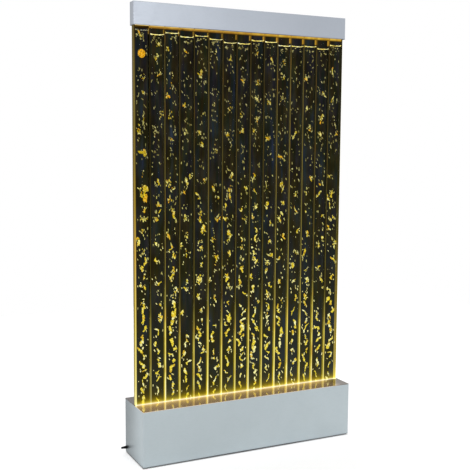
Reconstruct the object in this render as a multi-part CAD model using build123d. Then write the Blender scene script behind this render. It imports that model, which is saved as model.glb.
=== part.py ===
"""Bubble wall: a flat water panel of fifteen lit channels, standing in a metal base box.

Millimetres, +Z up, front towards -Y. The origin is on the floor, under the middle of the panel.
Rubber feet carry a bottom plate, slotted steel stands on that plate carry the light channel and
the panel, and a sheet-metal cap rests on the panel's top edge. The pump, the air manifold and the
electrics stand on the bottom plate, in front of and behind the panel.
"""
from build123d import *
import os

# Whole object
wall_width = 1000.0         # base box and cap, left end to right end
wall_height = 1895.0        # floor to the top of the cap
overrun = 1.0               # how far a cutting shape runs past the face it cuts
touch_gap = 0.3             # between parts that slide or swing past each other

# Base box
base_depth = 225.0
base_height = 240.0         # floor to the top of the polished plates
base_sheet = 1.5
base_corner = 2.0           # outside radius of the bent upright corners
shelf_depth = 15.0          # folded edge that the polished plates lie on
bottom_plate_thick = 2.0
top_plate_thick = 2.0
plate_gap = 0.6             # between a polished plate and the panel
foot_height = 5.0
foot_radius = 15.0
foot_inset = 35.0           # foot centre in from the faces of the box

# Panel: two clear sheets, upright ribs between them and a dark backing sheet
channel_count = 15
panel_inset = 4.5           # panel end in from the end of the base box
sheet_thick = 4.0
channel_depth = 13.0
backing_thick = 3.0
rib_thick = 6.0
panel_bottom = 70.0         # lower edge of the sheets above the floor
panel_top_in_cap = 53.0     # how far the panel reaches up into the cap
floor_bar_height = 20.0
header_thick = 3.0          # lit strip across the head of each channel
header_below_cap = 10.0
header_in_cap = 15.0
# Water surface below the lower edge of the cap, from the left channel to the right one
water_drops = (14.0, 28.0, 18.0, 30.0, 22.0, 32.0, 42.0, 42.0, 26.0, 28.0, 40.0, 39.0, 36.0, 43.0, 25.0)

# Cap
cap_depth = 45.0
cap_height = 93.0
cap_sheet = 1.5
cap_corner = 2.5            # outside radius of the upright corners
cap_top_round = 1.2         # outside radius round the top face
bridge_length = 40.0        # each hat-shaped bridge, along the cap
bridge_web = 26.0           # its flat web over the panel
bridge_brim = 6.0           # its welded brim on each side
bridge_sheet = 2.0
bridge_from_end = 100.0     # outer bridge centre in from the end of the cap
bridge_count = 3
cap_pad_thick = 2.0
cap_guide_height = 20.0
cap_guide_rise = 18.0       # guide strip above the lower edge of the cap
cap_guide_end = 50.0        # guide strip end in from the end of the cap

# Stands
stand_channel_counts = (1, 5, 10, 14)  # channels to the left of each stand
stand_sheet = 3.0
stand_end_gap = 16.0        # stand end in from the inside of the wall
stand_foot_width = 20.0
stand_slot_bottom = 55.0    # the light channel rests here
arch_front = 62.0           # arch reaches this far in front of the panel's middle
arch_back = 20.0            # and this far behind it
arch_top_gap = 8.0          # steel left between the arch and the slot
packer_thick = 2.0
packer_width = 12.0
packer_below_top = 10.0
seal_height = 8.0
lead_hole_radius = 7.0
screw_radius = 2.0
screw_clearance = 0.2
screw_head_radius = 4.0
screw_head_height = 2.5

# Light under the panel
light_channel_sheet = 1.5
light_board_width = 14.0
light_board_thick = 1.6
light_board_end = 3.0       # board end in from the end of its channel
nozzle_way_radius = 4.0     # hole that lets a nozzle through the board and the channel
chip_size = 5.0
chip_thick = 1.6
chip_from_rib = 4.0         # chip centre in from the face of the rib

# Air nozzles and tubes
nozzle_stem_radius = 3.0
nozzle_flange_radius = 4.5
nozzle_flange_thick = 3.0
nozzle_bore_radius = 0.6
small_barb_radius = 2.0
small_barb_bore = 1.2
nozzle_barb_length = 27.0
fit_clearance = 0.1         # radial, where a tube or stem sits in a hole
tube_wall = 0.9
tube_bend = 14.0
tube_top_gap = 1.0          # below the light channel
manifold_radius = 9.0
manifold_wall = 2.0
manifold_y = -40.0
manifold_rise = 15.0        # its centre above the bottom plate
manifold_end = 28.5         # its end in from the inside of the box
manifold_barb_length = 8.0
clip_length = 14.0
clip_depth = 24.0
clip_channel_counts = (1, 7, 14)  # channels to the left of each clip

# Air pump
pump_channel_count = 2      # channels to the left of the air outlet
pump_panel_gap = 10.0       # pump behind the panel
pump_wall_gap = 9.0         # pump in front of the back wall
pump_length = 133.0
pump_case_height = 32.0
pump_cover_height = 32.0
pump_wall = 2.5
pump_foot_radius = 6.0
pump_foot_height = 6.0
pump_foot_inset = 10.0
outlet_from_left = 33.5     # outlet in from the left end of the pump case
valve_block_size = 30.0
valve_block_height = 26.0
outlet_radius = 2.5
outlet_bore = 1.25
outlet_reach = 10.0         # outlet barb in front of the pump case
bellows_radius = 11.0
bellows_height = 15.0
bellows_fold_depth = 2.5
bellows_folds = 3
arm_thick = 3.0
arm_width = 14.0
arm_overhang = 12.0         # arm past the middle of the bellows
arm_length = 85.0           # bellows centre to pivot
arm_hub_radius = 5.0
arm_pin_radius = 1.5
running_clearance = 0.05    # radial, pin in its moving hub
magnet_from_bellows = 40.0
magnet_length = 12.0
magnet_height = 6.0
magnet_gap = 2.0            # magnet above the iron core
core_length = 36.0
core_width = 20.0
core_leg = 7.0
core_yoke = 8.0
coil_side = 6.0             # winding beyond the core's sides
coil_gap = 0.3
coil_below_top = 2.5
bracket_cheek = 3.0
bracket_length = 12.0
cheek_gap = 0.5
hose_radius = 4.0
check_radius = 7.0
check_length = 16.0
check_barb_length = 8.0
check_from_case = 20.0      # check valve body in front of the pump case

# Electrics
supply_channel_count = 10   # channels to the left of the stand beside the supply
supply_from_stand = 38.0
supply_length = 110.0
supply_panel_gap = 8.0      # supply behind the panel
supply_wall_gap = 13.0      # supply in front of the back wall
supply_height = 36.0
supply_sheet = 1.5
board_thick = 1.6
board_margin = 4.0
board_post = 5.0
board_post_radius = 3.0
transformer_length = 32.0
transformer_width = 28.0
transformer_height = 22.0
capacitor_radius = 7.0
capacitor_height = 20.0
sink_thick = 3.0
sink_height = 18.0
part_spacing = 12.0
terminal_length = 50.0
terminal_width = 20.0
terminal_height = 18.0
terminal_x = -35.0
terminal_step = 6.0
controller_width = 40.0
controller_height = 22.0
controller_from_supply = 30.0
controller_stand_gap = 5.0
controller_panel_gap = 18.0
controller_edge = 2.0
lead_radius = 2.5
lead_height = 21.0          # lead centre above the bottom plate where it crosses a stand
lead_bend = 8.0
lead_slope = 14.0           # length over which a lead comes down to the terminals

# Switch on the back
switch_x = -100.0
switch_z = 120.0
switch_body_width = 12.7
switch_body_height = 19.0
switch_body_depth = 16.0
switch_flange = 1.4
switch_flange_thick = 1.8
switch_hole_gap = 0.2
pocket_width = 10.0
pocket_height = 15.4
pocket_depth = 7.5
rocker_width = 9.6
rocker_half_length = 6.8
rocker_end_rise = 2.6       # outer face above the pivot at the ends
rocker_mid_rise = 1.4
rocker_root = 4.0           # inner edge behind the pivot
rocker_root_half = 4.0
rocker_pin_radius = 1.0
rocker_pin_reach = 0.9      # pin into each side wall
rocker_tilt = 8.0           # degrees either side of level
tab_width = 5.0
tab_thick = 0.8
tab_length = 8.0
tab_pitch = 9.0

# Service door in the back
door_width = 240.0
door_height = 150.0
door_bottom = 45.0
door_gap = 1.0
door_from_pump = 20.0       # door centre right of the pump centre
knuckle_radius = 2.5
knuckle_side_gap = 3.0      # sheet edge away from the hinge axis
knuckle_count = 3
knuckle_end_gap = 0.5
hinge_pin_radius = 1.25
leaf_thick = 1.0
leaf_width = 15.0
catch_length = 16.0
catch_lap = 6.0             # magnet behind the door's edge
catch_depth = 8.0
catch_height = 20.0
catch_inset = 25.0          # magnet centre in from the door's top and bottom edges
finger_hole_radius = 11.0
finger_hole_inset = 22.0
vent_count = 6
vent_length = 70.0
vent_height = 4.0
vent_pitch = 12.0

# Gland in the left end
gland_from_back = 20.0
gland_z = 27.0
gland_reach = 26.0
gland_collar_radius = 7.0
gland_collar_length = 4.0
gland_root_radius = 6.4
gland_tip_radius = 3.9
gland_bore = 3.2
gland_thread_radius = 5.9
gland_thread_length = 10.0
gland_hole_gap = 0.1
locknut_flats = 16.0
locknut_thick = 4.0

# Worked-out places
half_width = wall_width / 2
half_depth = base_depth / 2
inner_half_width = half_width - base_sheet
inner_half_depth = half_depth - base_sheet
stand_half_depth = inner_half_depth - stand_end_gap
plate_underside = base_height - top_plate_thick
deck = foot_height + bottom_plate_thick
panel_width = wall_width - panel_inset * 2
half_panel = panel_width / 2
panel_thick = sheet_thick * 2 + channel_depth + backing_thick
panel_front = -panel_thick / 2
channel_front = panel_front + sheet_thick
channel_back = channel_front + channel_depth
backing_front = channel_back + sheet_thick
panel_back = panel_thick / 2
pump_front = panel_back + pump_panel_gap
pump_back = inner_half_depth - pump_wall_gap
pump_y = (pump_front + pump_back) / 2
channel_y = (channel_front + channel_back) / 2
channel_pitch = (panel_width - rib_thick) / channel_count
cap_bottom = wall_height - cap_height
panel_top = cap_bottom + panel_top_in_cap
water_bottom = panel_bottom + floor_bar_height
slot_half = panel_thick / 2 + packer_thick
arch_top = stand_slot_bottom - arch_top_gap
light_floor = stand_slot_bottom + light_channel_sheet
manifold_z = deck + manifold_rise
lead_z = deck + lead_height
manifold_face = manifold_y + manifold_radius


def block(x_low, x_high, y_low, y_high, z_low, z_high):
    """A square-edged block between two corners."""
    middle = Pos((x_low + x_high) / 2, (y_low + y_high) / 2, (z_low + z_high) / 2)
    return middle * Box(x_high - x_low, y_high - y_low, z_high - z_low)


def bar_x(radius, x_low, x_high, y, z):
    """A round bar along X."""
    return Pos((x_low + x_high) / 2, y, z) * Rot(0, 90, 0) * Cylinder(radius, x_high - x_low)


def bar_y(radius, x, y_low, y_high, z):
    """A round bar along Y."""
    return Pos(x, (y_low + y_high) / 2, z) * Rot(90, 0, 0) * Cylinder(radius, y_high - y_low)


def bar_z(radius, x, y, z_low, z_high):
    """An upright round bar."""
    return Pos(x, y, (z_low + z_high) / 2) * Cylinder(radius, z_high - z_low)


def rounded_block(width, depth, corner, z_low, z_high):
    """A centred upright block with rounded corners."""
    return Pos(0, 0, z_low) * extrude(RectangleRounded(width, depth, corner), z_high - z_low)


def group(pieces):
    """Several loose pieces in one node."""
    return Compound([solid for piece in pieces for solid in piece.solids()])


def boundary_x(index):
    """The middle of a rib or end wall, counted from the left end."""
    return -half_panel + rib_thick / 2 + index * channel_pitch


def channel_x(index):
    """The middle of a channel, counted from the left one."""
    return boundary_x(index) + channel_pitch / 2


def lead(points, radius, bend):
    """A round lead along straight runs joined by arcs."""
    route = FilletPolyline(*points, radius=bend) if len(points) > 2 else Polyline(*points)
    start = Plane(origin=route @ 0, z_dir=route % 0)
    return sweep(start * Circle(radius), path=route)


nodes = {}

# Base box


def stand_places():
    """The left faces of the stands, each centred under a rib."""
    return [boundary_x(index) - stand_sheet / 2 for index in stand_channel_counts]


pump_left = boundary_x(pump_channel_count) - outlet_from_left
pump_x = pump_left + pump_length / 2
hinge_x = pump_x + door_from_pump - door_width / 2
hinge_y = half_depth - knuckle_radius
door_right = hinge_x + door_width
door_top = door_bottom + door_height
gland_y = half_depth - gland_from_back


def base_housing():
    """Four bent walls with a folded shelf round the top, a door opening, a switch hole and a gland hole."""
    walls = rounded_block(wall_width, base_depth, base_corner, foot_height, plate_underside)
    hollow_corner = base_corner - base_sheet
    inside_width = inner_half_width * 2
    inside_depth = inner_half_depth * 2
    shelf_bottom = plate_underside - base_sheet
    walls -= rounded_block(inside_width, inside_depth, hollow_corner, foot_height - overrun, shelf_bottom)
    shelf_edge = inner_half_depth - shelf_depth
    walls -= block(
        -inner_half_width, inner_half_width, -shelf_edge, shelf_edge,
        shelf_bottom - overrun, plate_underside + overrun,
    )
    walls -= block(
        hinge_x - knuckle_side_gap, door_right + door_gap,
        inner_half_depth - overrun, half_depth + overrun,
        door_bottom - door_gap, door_top + door_gap,
    )
    switch_half_width = switch_body_width / 2 + switch_hole_gap
    switch_half_height = switch_body_height / 2 + switch_hole_gap
    walls -= block(
        switch_x - switch_half_width, switch_x + switch_half_width,
        inner_half_depth - overrun, half_depth + overrun,
        switch_z - switch_half_height, switch_z + switch_half_height,
    )
    gland_hole = gland_thread_radius + gland_hole_gap
    walls -= bar_x(gland_hole, -half_width - overrun, -inner_half_width + overrun, gland_y, gland_z)
    return walls


def screw_places():
    """The middles of the stand screws."""
    front_y = -(arch_front + stand_half_depth) / 2
    back_y = (arch_back + stand_half_depth) / 2 + lead_hole_radius
    reach = stand_sheet + (stand_foot_width - stand_sheet) / 2
    return [(x + reach, y) for x in stand_places() for y in (front_y, back_y)]


def bottom_plate():
    """The deck that everything stands on, with a hole for each stand screw."""
    corner = base_corner - base_sheet
    plate = rounded_block(inner_half_width * 2, inner_half_depth * 2, corner, foot_height, deck)
    hole = screw_radius + screw_clearance
    for x, y in screw_places():
        plate -= bar_z(hole, x, y, foot_height - overrun, deck + overrun)
    return plate


def top_plate(side):
    """One polished plate, notched round its half of the panel; side is -1 in front and 1 behind."""
    plate = rounded_block(wall_width, base_depth, base_corner, plate_underside, base_height)
    far = half_depth + overrun
    side_half = block(
        -half_width - overrun, half_width + overrun, min(0, side * far), max(0, side * far),
        plate_underside - overrun, base_height + overrun,
    )
    notch_half_width = half_panel + plate_gap
    notch_half_depth = panel_thick / 2 + plate_gap
    notch = block(
        -notch_half_width, notch_half_width, -notch_half_depth, notch_half_depth,
        plate_underside - overrun, base_height + overrun,
    )
    return (plate & side_half) - notch


def rubber_feet():
    """Three pairs of feet, and one in the middle under the panel's weight."""
    x_far = half_width - foot_inset
    y_far = half_depth - foot_inset
    places = [(x, y) for x in (-x_far, 0, x_far) for y in (-y_far, y_far)] + [(0, 0)]
    return group([bar_z(foot_radius, x, y, 0, foot_height) for x, y in places])


def panel_stand(x):
    """One bent steel stand: a slotted plate across the box with a foot at each side."""
    x_right = x + stand_sheet
    plate = block(x, x_right, -stand_half_depth, stand_half_depth, deck, plate_underside)
    cut = (x - overrun, x_right + overrun)
    plate -= block(*cut, -slot_half, slot_half, stand_slot_bottom, plate_underside + overrun)
    plate -= block(*cut, -arch_front, arch_back, deck - overrun, arch_top)
    plate -= bar_x(lead_hole_radius, *cut, pump_y, lead_z)
    foot_right = x + stand_foot_width
    foot_top = deck + stand_sheet
    plate += block(x, foot_right, -stand_half_depth, -arch_front, deck, foot_top)
    plate += block(x, foot_right, arch_back, stand_half_depth, deck, foot_top)
    return plate


def panel_stands():
    """All the stands, each foot with its screw hole."""
    hole = screw_radius + screw_clearance
    holes = [bar_z(hole, x, y, deck - overrun, deck + stand_sheet + overrun) for x, y in screw_places()]
    return group([panel_stand(x) - holes for x in stand_places()])


def stand_screws():
    """A round-headed screw through each foot into the bottom plate."""
    screws = []
    seat = deck + stand_sheet
    for x, y in screw_places():
        shank = bar_z(screw_radius, x, y, foot_height, seat)
        screws.append(shank + bar_z(screw_head_radius, x, y, seat, seat + screw_head_height))
    return group(screws)


def slot_packers():
    """Rubber strips that hold the panel upright in each stand's slot."""
    strips = []
    top = plate_underside - packer_below_top
    for x in stand_places():
        middle = x + stand_sheet / 2
        x_low = middle - packer_width / 2
        x_high = middle + packer_width / 2
        for y_low, y_high in ((-slot_half, panel_front), (panel_back, slot_half)):
            strips.append(block(x_low, x_high, y_low, y_high, stand_slot_bottom, top))
    return group(strips)


def panel_seal():
    """A rubber ring round the panel, close under the polished plates."""
    half_length = half_panel + packer_thick
    z_low = plate_underside - seal_height
    ring = block(-half_length, half_length, -slot_half, slot_half, z_low, plate_underside)
    return ring - block(
        -half_panel, half_panel, panel_front, panel_back, z_low - overrun, plate_underside + overrun
    )


nodes["base_housing"] = base_housing()
nodes["bottom_plate"] = bottom_plate()
nodes["top_plate_front"] = top_plate(-1)
nodes["top_plate_rear"] = top_plate(1)
nodes["rubber_feet"] = rubber_feet()
nodes["panel_stands"] = panel_stands()
nodes["stand_screws"] = stand_screws()
nodes["slot_packers"] = slot_packers()
nodes["panel_seal"] = panel_seal()

# Panel


def sheet(y_low, y_high):
    """One full-size sheet of the panel."""
    return block(-half_panel, half_panel, y_low, y_high, panel_bottom, panel_top)


def rib(index, z_low):
    """One upright wall between the clear sheets, from a given height up."""
    x = boundary_x(index)
    half = rib_thick / 2
    return block(x - half, x + half, channel_front, channel_back, z_low, panel_top)


def channel_floor():
    """The clear bar that closes every channel, with a bore for each air nozzle."""
    inside = half_panel - rib_thick
    bar = block(-inside, inside, channel_front, channel_back, panel_bottom, water_bottom)
    bore = nozzle_stem_radius + fit_clearance
    for index in range(channel_count):
        bar -= bar_z(bore, channel_x(index), channel_y, panel_bottom - overrun, water_bottom + overrun)
    return bar


def air_nozzle(x):
    """A stem in the channel floor, a flange under it and a hose barb below."""
    flange_bottom = panel_bottom - nozzle_flange_thick
    barb_bottom = flange_bottom - nozzle_barb_length
    nozzle = bar_z(nozzle_stem_radius, x, channel_y, panel_bottom, water_bottom)
    nozzle += bar_z(nozzle_flange_radius, x, channel_y, flange_bottom, panel_bottom)
    nozzle += bar_z(small_barb_radius, x, channel_y, barb_bottom, flange_bottom)
    return nozzle - bar_z(nozzle_bore_radius, x, channel_y, barb_bottom - overrun, water_bottom + overrun)


def water_column(index):
    """The water in one channel, up to its own level."""
    x_low = boundary_x(index) + rib_thick / 2
    x_high = boundary_x(index + 1) - rib_thick / 2
    level = cap_bottom - water_drops[index]
    return block(x_low, x_high, channel_front, channel_back, water_bottom, level)


def header_strip(index):
    """The clear strip across the head of one channel, behind the front sheet, half hidden in the cap."""
    x_low = boundary_x(index) + rib_thick / 2
    x_high = boundary_x(index + 1) - rib_thick / 2
    z_low = cap_bottom - header_below_cap
    z_high = cap_bottom + header_in_cap
    return block(x_low, x_high, channel_front, channel_front + header_thick, z_low, z_high)


channels = range(channel_count)
nodes["front_sheet"] = sheet(panel_front, channel_front)
nodes["rear_sheet"] = sheet(channel_back, backing_front)
nodes["backing_sheet"] = sheet(backing_front, panel_back)
nodes["left_end_wall"] = rib(0, panel_bottom)
nodes["right_end_wall"] = rib(channel_count, panel_bottom)
nodes["channel_ribs"] = group([rib(index, water_bottom) for index in range(1, channel_count)])
nodes["channel_floor"] = channel_floor()
nodes["air_nozzles"] = group([air_nozzle(channel_x(index)) for index in channels])
nodes["water_columns"] = group([water_column(index) for index in channels])
nodes["header_strips"] = group([header_strip(index) for index in channels])

# Light under the panel


def light_channel():
    """A shallow aluminium trough that carries the panel and holds the light board."""
    trough = block(-half_panel, half_panel, panel_front, panel_back, stand_slot_bottom, panel_bottom)
    hollow_front = panel_front + light_channel_sheet
    hollow_back = panel_back - light_channel_sheet
    trough -= block(
        -half_panel - overrun, half_panel + overrun, hollow_front, hollow_back,
        light_floor, panel_bottom + overrun,
    )
    for index in channels:
        trough -= bar_z(
            nozzle_way_radius, channel_x(index), channel_y, stand_slot_bottom - overrun, light_floor + overrun
        )
    lead_way = lead_radius + fit_clearance
    return trough - bar_z(
        lead_way, light_lead_x, light_lead_y, stand_slot_bottom - overrun, light_floor + overrun
    )


def light_board():
    """The circuit board on the floor of the trough, holed round each nozzle."""
    half_length = half_panel - light_board_end
    half_board = light_board_width / 2
    board = block(
        -half_length, half_length, channel_y - half_board, channel_y + half_board,
        light_floor, light_floor + light_board_thick,
    )
    for index in channels:
        board -= bar_z(
            nozzle_way_radius, channel_x(index), channel_y,
            light_floor - overrun, light_floor + light_board_thick + overrun,
        )
    return board


def light_chips():
    """Two chips for each channel, close to the ribs that they light."""
    chips = []
    reach = (channel_pitch - rib_thick) / 2 - chip_from_rib
    half = chip_size / 2
    z_low = light_floor + light_board_thick
    for index in channels:
        for side in (-1, 1):
            x = channel_x(index) + side * reach
            chips.append(block(x - half, x + half, channel_y - half, channel_y + half, z_low, z_low + chip_thick))
    return group(chips)


light_lead_x = half_width - panel_inset - rib_thick - light_board_end * 2
light_lead_y = (channel_y + light_board_width / 2 + panel_back - light_channel_sheet) / 2
nodes["light_channel"] = light_channel()
nodes["light_board"] = light_board()
nodes["light_chips"] = light_chips()

# Air manifold and tubes


def air_manifold():
    """A closed tube along the base with a barb for each channel and one for the pump."""
    x_far = inner_half_width - manifold_end
    bore = manifold_radius - manifold_wall
    tube = bar_x(manifold_radius, -x_far, x_far, manifold_y, manifold_z)
    barb_tip = manifold_face + manifold_barb_length
    for index in channels:
        tube += bar_y(small_barb_radius, channel_x(index), manifold_y, barb_tip, manifold_z)
    inlet_x = boundary_x(pump_channel_count)
    tube += bar_y(outlet_radius, inlet_x, manifold_y, barb_tip, manifold_z)
    tube -= bar_x(bore, -x_far + manifold_wall, x_far - manifold_wall, manifold_y, manifold_z)
    for index in channels:
        tube -= bar_y(small_barb_bore, channel_x(index), manifold_y, barb_tip + overrun, manifold_z)
    return tube - bar_y(outlet_bore, inlet_x, manifold_y, barb_tip + overrun, manifold_z)


def manifold_clips():
    """Grooved blocks that carry the manifold on the bottom plate."""
    clips = []
    for index in clip_channel_counts:
        x = boundary_x(index)
        x_low = x - clip_length / 2
        x_high = x + clip_length / 2
        y_low = manifold_y - clip_depth / 2
        y_high = manifold_y + clip_depth / 2
        clip = block(x_low, x_high, y_low, y_high, deck, manifold_z)
        clips.append(clip - bar_x(manifold_radius, x_low - overrun, x_high + overrun, manifold_y, manifold_z))
    return group(clips)


def air_tube():
    """A tube from a nozzle's barb down and forward to the manifold, at the middle of the wall."""
    top = stand_slot_bottom - tube_top_gap
    route = FilletPolyline(
        (0, channel_y, top), (0, channel_y, manifold_z), (0, manifold_face, manifold_z), radius=tube_bend
    )
    start = Plane(origin=route @ 0, z_dir=route % 0)
    bore = small_barb_radius + fit_clearance
    outside = sweep(start * Circle(bore + tube_wall), path=route)
    return outside - sweep(start * Circle(bore), path=route)


one_air_tube = air_tube()
nodes["air_manifold"] = air_manifold()
nodes["manifold_clips"] = manifold_clips()
nodes["air_tubes"] = group([Pos(channel_x(index), 0, 0) * one_air_tube for index in channels])

# Air pump

pump_right = pump_left + pump_length
case_bottom = deck + pump_foot_height
case_top = case_bottom + pump_case_height
case_floor = case_bottom + pump_wall
outlet_x = boundary_x(pump_channel_count)
outlet_z = manifold_z
block_top = case_floor + valve_block_height
arm_bottom = block_top + bellows_height
arm_z = arm_bottom + arm_thick / 2
pivot_x = outlet_x + arm_length
magnet_x = outlet_x + magnet_from_bellows
core_top = arm_bottom - magnet_height - magnet_gap
lead_way = lead_radius + fit_clearance


def pump_case():
    """The open-topped lower case, with the outlet hole in front and the lead hole at the right."""
    case = block(pump_left, pump_right, pump_front, pump_back, case_bottom, case_top)
    case -= block(
        pump_left + pump_wall, pump_right - pump_wall, pump_front + pump_wall, pump_back - pump_wall,
        case_floor, case_top + overrun,
    )
    case -= bar_y(
        outlet_radius + fit_clearance, outlet_x, pump_front - overrun, pump_front + pump_wall + overrun, outlet_z
    )
    return case - bar_x(lead_way, pump_right - pump_wall - overrun, pump_right + overrun, pump_y, lead_z)


def pump_cover():
    """The lid of the pump, a tray turned upside down."""
    top = case_top + pump_cover_height
    cover = block(pump_left, pump_right, pump_front, pump_back, case_top, top)
    upright = [edge for edge in cover.edges() if abs(edge.tangent_at(0).Z) > overrun / 2]
    cover = fillet(upright + cover.faces().sort_by(Axis.Z)[-1].edges(), pump_wall)
    return cover - block(
        pump_left + pump_wall, pump_right - pump_wall, pump_front + pump_wall, pump_back - pump_wall,
        case_top - overrun, top - pump_wall,
    )


def pump_feet():
    """Four soft feet under the pump."""
    feet = []
    for x in (pump_left + pump_foot_inset, pump_right - pump_foot_inset):
        for y in (pump_front + pump_foot_inset, pump_back - pump_foot_inset):
            feet.append(bar_z(pump_foot_radius, x, y, deck, case_bottom))
    return group(feet)


def pump_valve_block():
    """The block under the bellows, with the outlet barb that leaves the case."""
    half = valve_block_size / 2
    body = block(outlet_x - half, outlet_x + half, pump_y - half, pump_y + half, case_floor, block_top)
    tip = pump_front - outlet_reach
    body += bar_y(outlet_radius, outlet_x, tip, pump_y, outlet_z)
    body -= bar_y(outlet_bore, outlet_x, tip - overrun, pump_y, outlet_z)
    return body - bar_z(outlet_bore, outlet_x, pump_y, outlet_z, block_top + overrun)


def pump_bellows():
    """A folded rubber drum between the valve block and the arm."""
    fold = bellows_height / bellows_folds
    points = [(0, 0), (bellows_radius, 0)]
    for index in range(bellows_folds):
        base = index * fold
        points.append((bellows_radius - bellows_fold_depth, base + fold / 2))
        points.append((bellows_radius, base + fold))
    points.append((0, bellows_height))
    profile = make_face(Plane.XZ * Polyline(*points, close=True))
    return Pos(outlet_x, pump_y, block_top) * revolve(profile, Axis.Z)


def pump_arm():
    """The rocking arm, with its hub on the pivot pin."""
    half = arm_width / 2
    arm = block(outlet_x - arm_overhang, pivot_x, pump_y - half, pump_y + half, arm_bottom, arm_bottom + arm_thick)
    arm += bar_y(arm_hub_radius, pivot_x, pump_y - half, pump_y + half, arm_z)
    bore = arm_pin_radius + running_clearance
    return arm - bar_y(bore, pivot_x, pump_y - half - overrun, pump_y + half + overrun, arm_z)


def pump_magnet():
    """The magnet under the arm."""
    half_length = magnet_length / 2
    half = arm_width / 2
    return block(
        magnet_x - half_length, magnet_x + half_length, pump_y - half, pump_y + half,
        arm_bottom - magnet_height, arm_bottom,
    )


def pump_core():
    """The E-shaped iron core under the magnet."""
    half_length = core_length / 2
    half_width_y = core_width / 2
    y_low = pump_y - half_width_y
    y_high = pump_y + half_width_y
    core = block(magnet_x - half_length, magnet_x + half_length, y_low, y_high, case_floor, core_top)
    window = (core_length - core_leg * 3) / 2
    for side in (-1, 1):
        middle = magnet_x + side * (core_leg + window) / 2
        core -= block(
            middle - window / 2, middle + window / 2, y_low - overrun, y_high + overrun,
            case_floor + core_yoke, core_top + overrun,
        )
    return core


def pump_coil():
    """The winding round the middle leg of the core."""
    hole_x = core_leg / 2 + coil_gap
    hole_y = core_width / 2 + coil_gap
    window = (core_length - core_leg * 3) / 2
    outer_x = core_leg / 2 + window - coil_gap
    outer_y = core_width / 2 + coil_side
    z_low = case_floor + core_yoke
    z_high = core_top - coil_below_top
    coil = block(magnet_x - outer_x, magnet_x + outer_x, pump_y - outer_y, pump_y + outer_y, z_low, z_high)
    return coil - block(
        magnet_x - hole_x, magnet_x + hole_x, pump_y - hole_y, pump_y + hole_y, z_low - overrun, z_high + overrun
    )


def pump_pivot_bracket():
    """A fork on the case floor that holds the pivot pin."""
    inside = arm_width / 2 + cheek_gap
    outside = inside + bracket_cheek
    half_length = bracket_length / 2
    top = arm_z + arm_hub_radius
    fork = block(pivot_x - half_length, pivot_x + half_length, pump_y - outside, pump_y + outside, case_floor, top)
    fork -= block(
        pivot_x - half_length - overrun, pivot_x + half_length + overrun, pump_y - inside, pump_y + inside,
        case_floor + bracket_cheek, top + overrun,
    )
    bore = arm_pin_radius + running_clearance
    return fork - bar_y(bore, pivot_x, pump_y - outside - overrun, pump_y + outside + overrun, arm_z)


def check_valve():
    """The one-way valve between the pump and the manifold."""
    body_back = pump_front - check_from_case
    body_front = body_back - check_length
    valve = bar_y(check_radius, outlet_x, body_front, body_back, outlet_z)
    y_low = body_front - check_barb_length
    y_high = body_back + check_barb_length
    valve += bar_y(outlet_radius, outlet_x, y_low, y_high, outlet_z)
    return valve - bar_y(outlet_bore, outlet_x, y_low - overrun, y_high + overrun, outlet_z)


def pump_hoses():
    """Two short hoses: pump to check valve, and check valve to manifold."""
    bore = outlet_radius + fit_clearance
    body_back = pump_front - check_from_case
    body_front = body_back - check_length
    hoses = []
    for y_low, y_high in ((body_back, pump_front), (manifold_face, body_front)):
        hose = bar_y(hose_radius, outlet_x, y_low, y_high, outlet_z)
        hoses.append(hose - bar_y(bore, outlet_x, y_low - overrun, y_high + overrun, outlet_z))
    return group(hoses)


nodes["pump_case"] = pump_case()
nodes["pump_cover"] = pump_cover()
nodes["pump_feet"] = pump_feet()
nodes["pump_valve_block"] = pump_valve_block()
nodes["pump_bellows"] = pump_bellows()
nodes["pump_arm"] = pump_arm()
nodes["pump_magnet"] = pump_magnet()
nodes["pump_core"] = pump_core()
nodes["pump_coil"] = pump_coil()
nodes["pump_pivot_bracket"] = pump_pivot_bracket()
pin_reach = arm_width / 2 + cheek_gap + bracket_cheek
nodes["pump_pivot_pin"] = bar_y(arm_pin_radius, pivot_x, pump_y - pin_reach, pump_y + pin_reach, arm_z)
nodes["check_valve"] = check_valve()
nodes["pump_hoses"] = pump_hoses()

# Electrics

supply_left = boundary_x(supply_channel_count) + supply_from_stand
supply_right = supply_left + supply_length
supply_front = panel_back + supply_panel_gap
supply_back = inner_half_depth - supply_wall_gap
supply_top = deck + supply_height
board_bottom = deck + board_post
board_top = board_bottom + board_thick
controller_left = supply_right + controller_from_supply
controller_right = stand_places()[-1] - controller_stand_gap
controller_x = (controller_left + controller_right) / 2
controller_front = panel_back + controller_panel_gap
controller_back = controller_front + controller_width
controller_y = (controller_front + controller_back) / 2
controller_top = deck + controller_height


def power_supply_case():
    """The folded cover of the power supply, open underneath, with a lead hole at each end."""
    case = block(supply_left, supply_right, supply_front, supply_back, deck, supply_top)
    case -= block(
        supply_left + supply_sheet, supply_right - supply_sheet,
        supply_front + supply_sheet, supply_back - supply_sheet,
        deck - overrun, supply_top - supply_sheet,
    )
    return case - bar_x(lead_way, supply_left - overrun, supply_right + overrun, pump_y, lead_z)


def power_supply_board():
    """The supply's circuit board on four posts."""
    x_low = supply_left + board_margin
    x_high = supply_right - board_margin
    y_low = supply_front + board_margin
    y_high = supply_back - board_margin
    board = block(x_low, x_high, y_low, y_high, board_bottom, board_top)
    for x in (x_low + board_post_radius, x_high - board_post_radius):
        for y in (y_low + board_post_radius, y_high - board_post_radius):
            board += bar_z(board_post_radius, x, y, deck, board_bottom)
    return board


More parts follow.
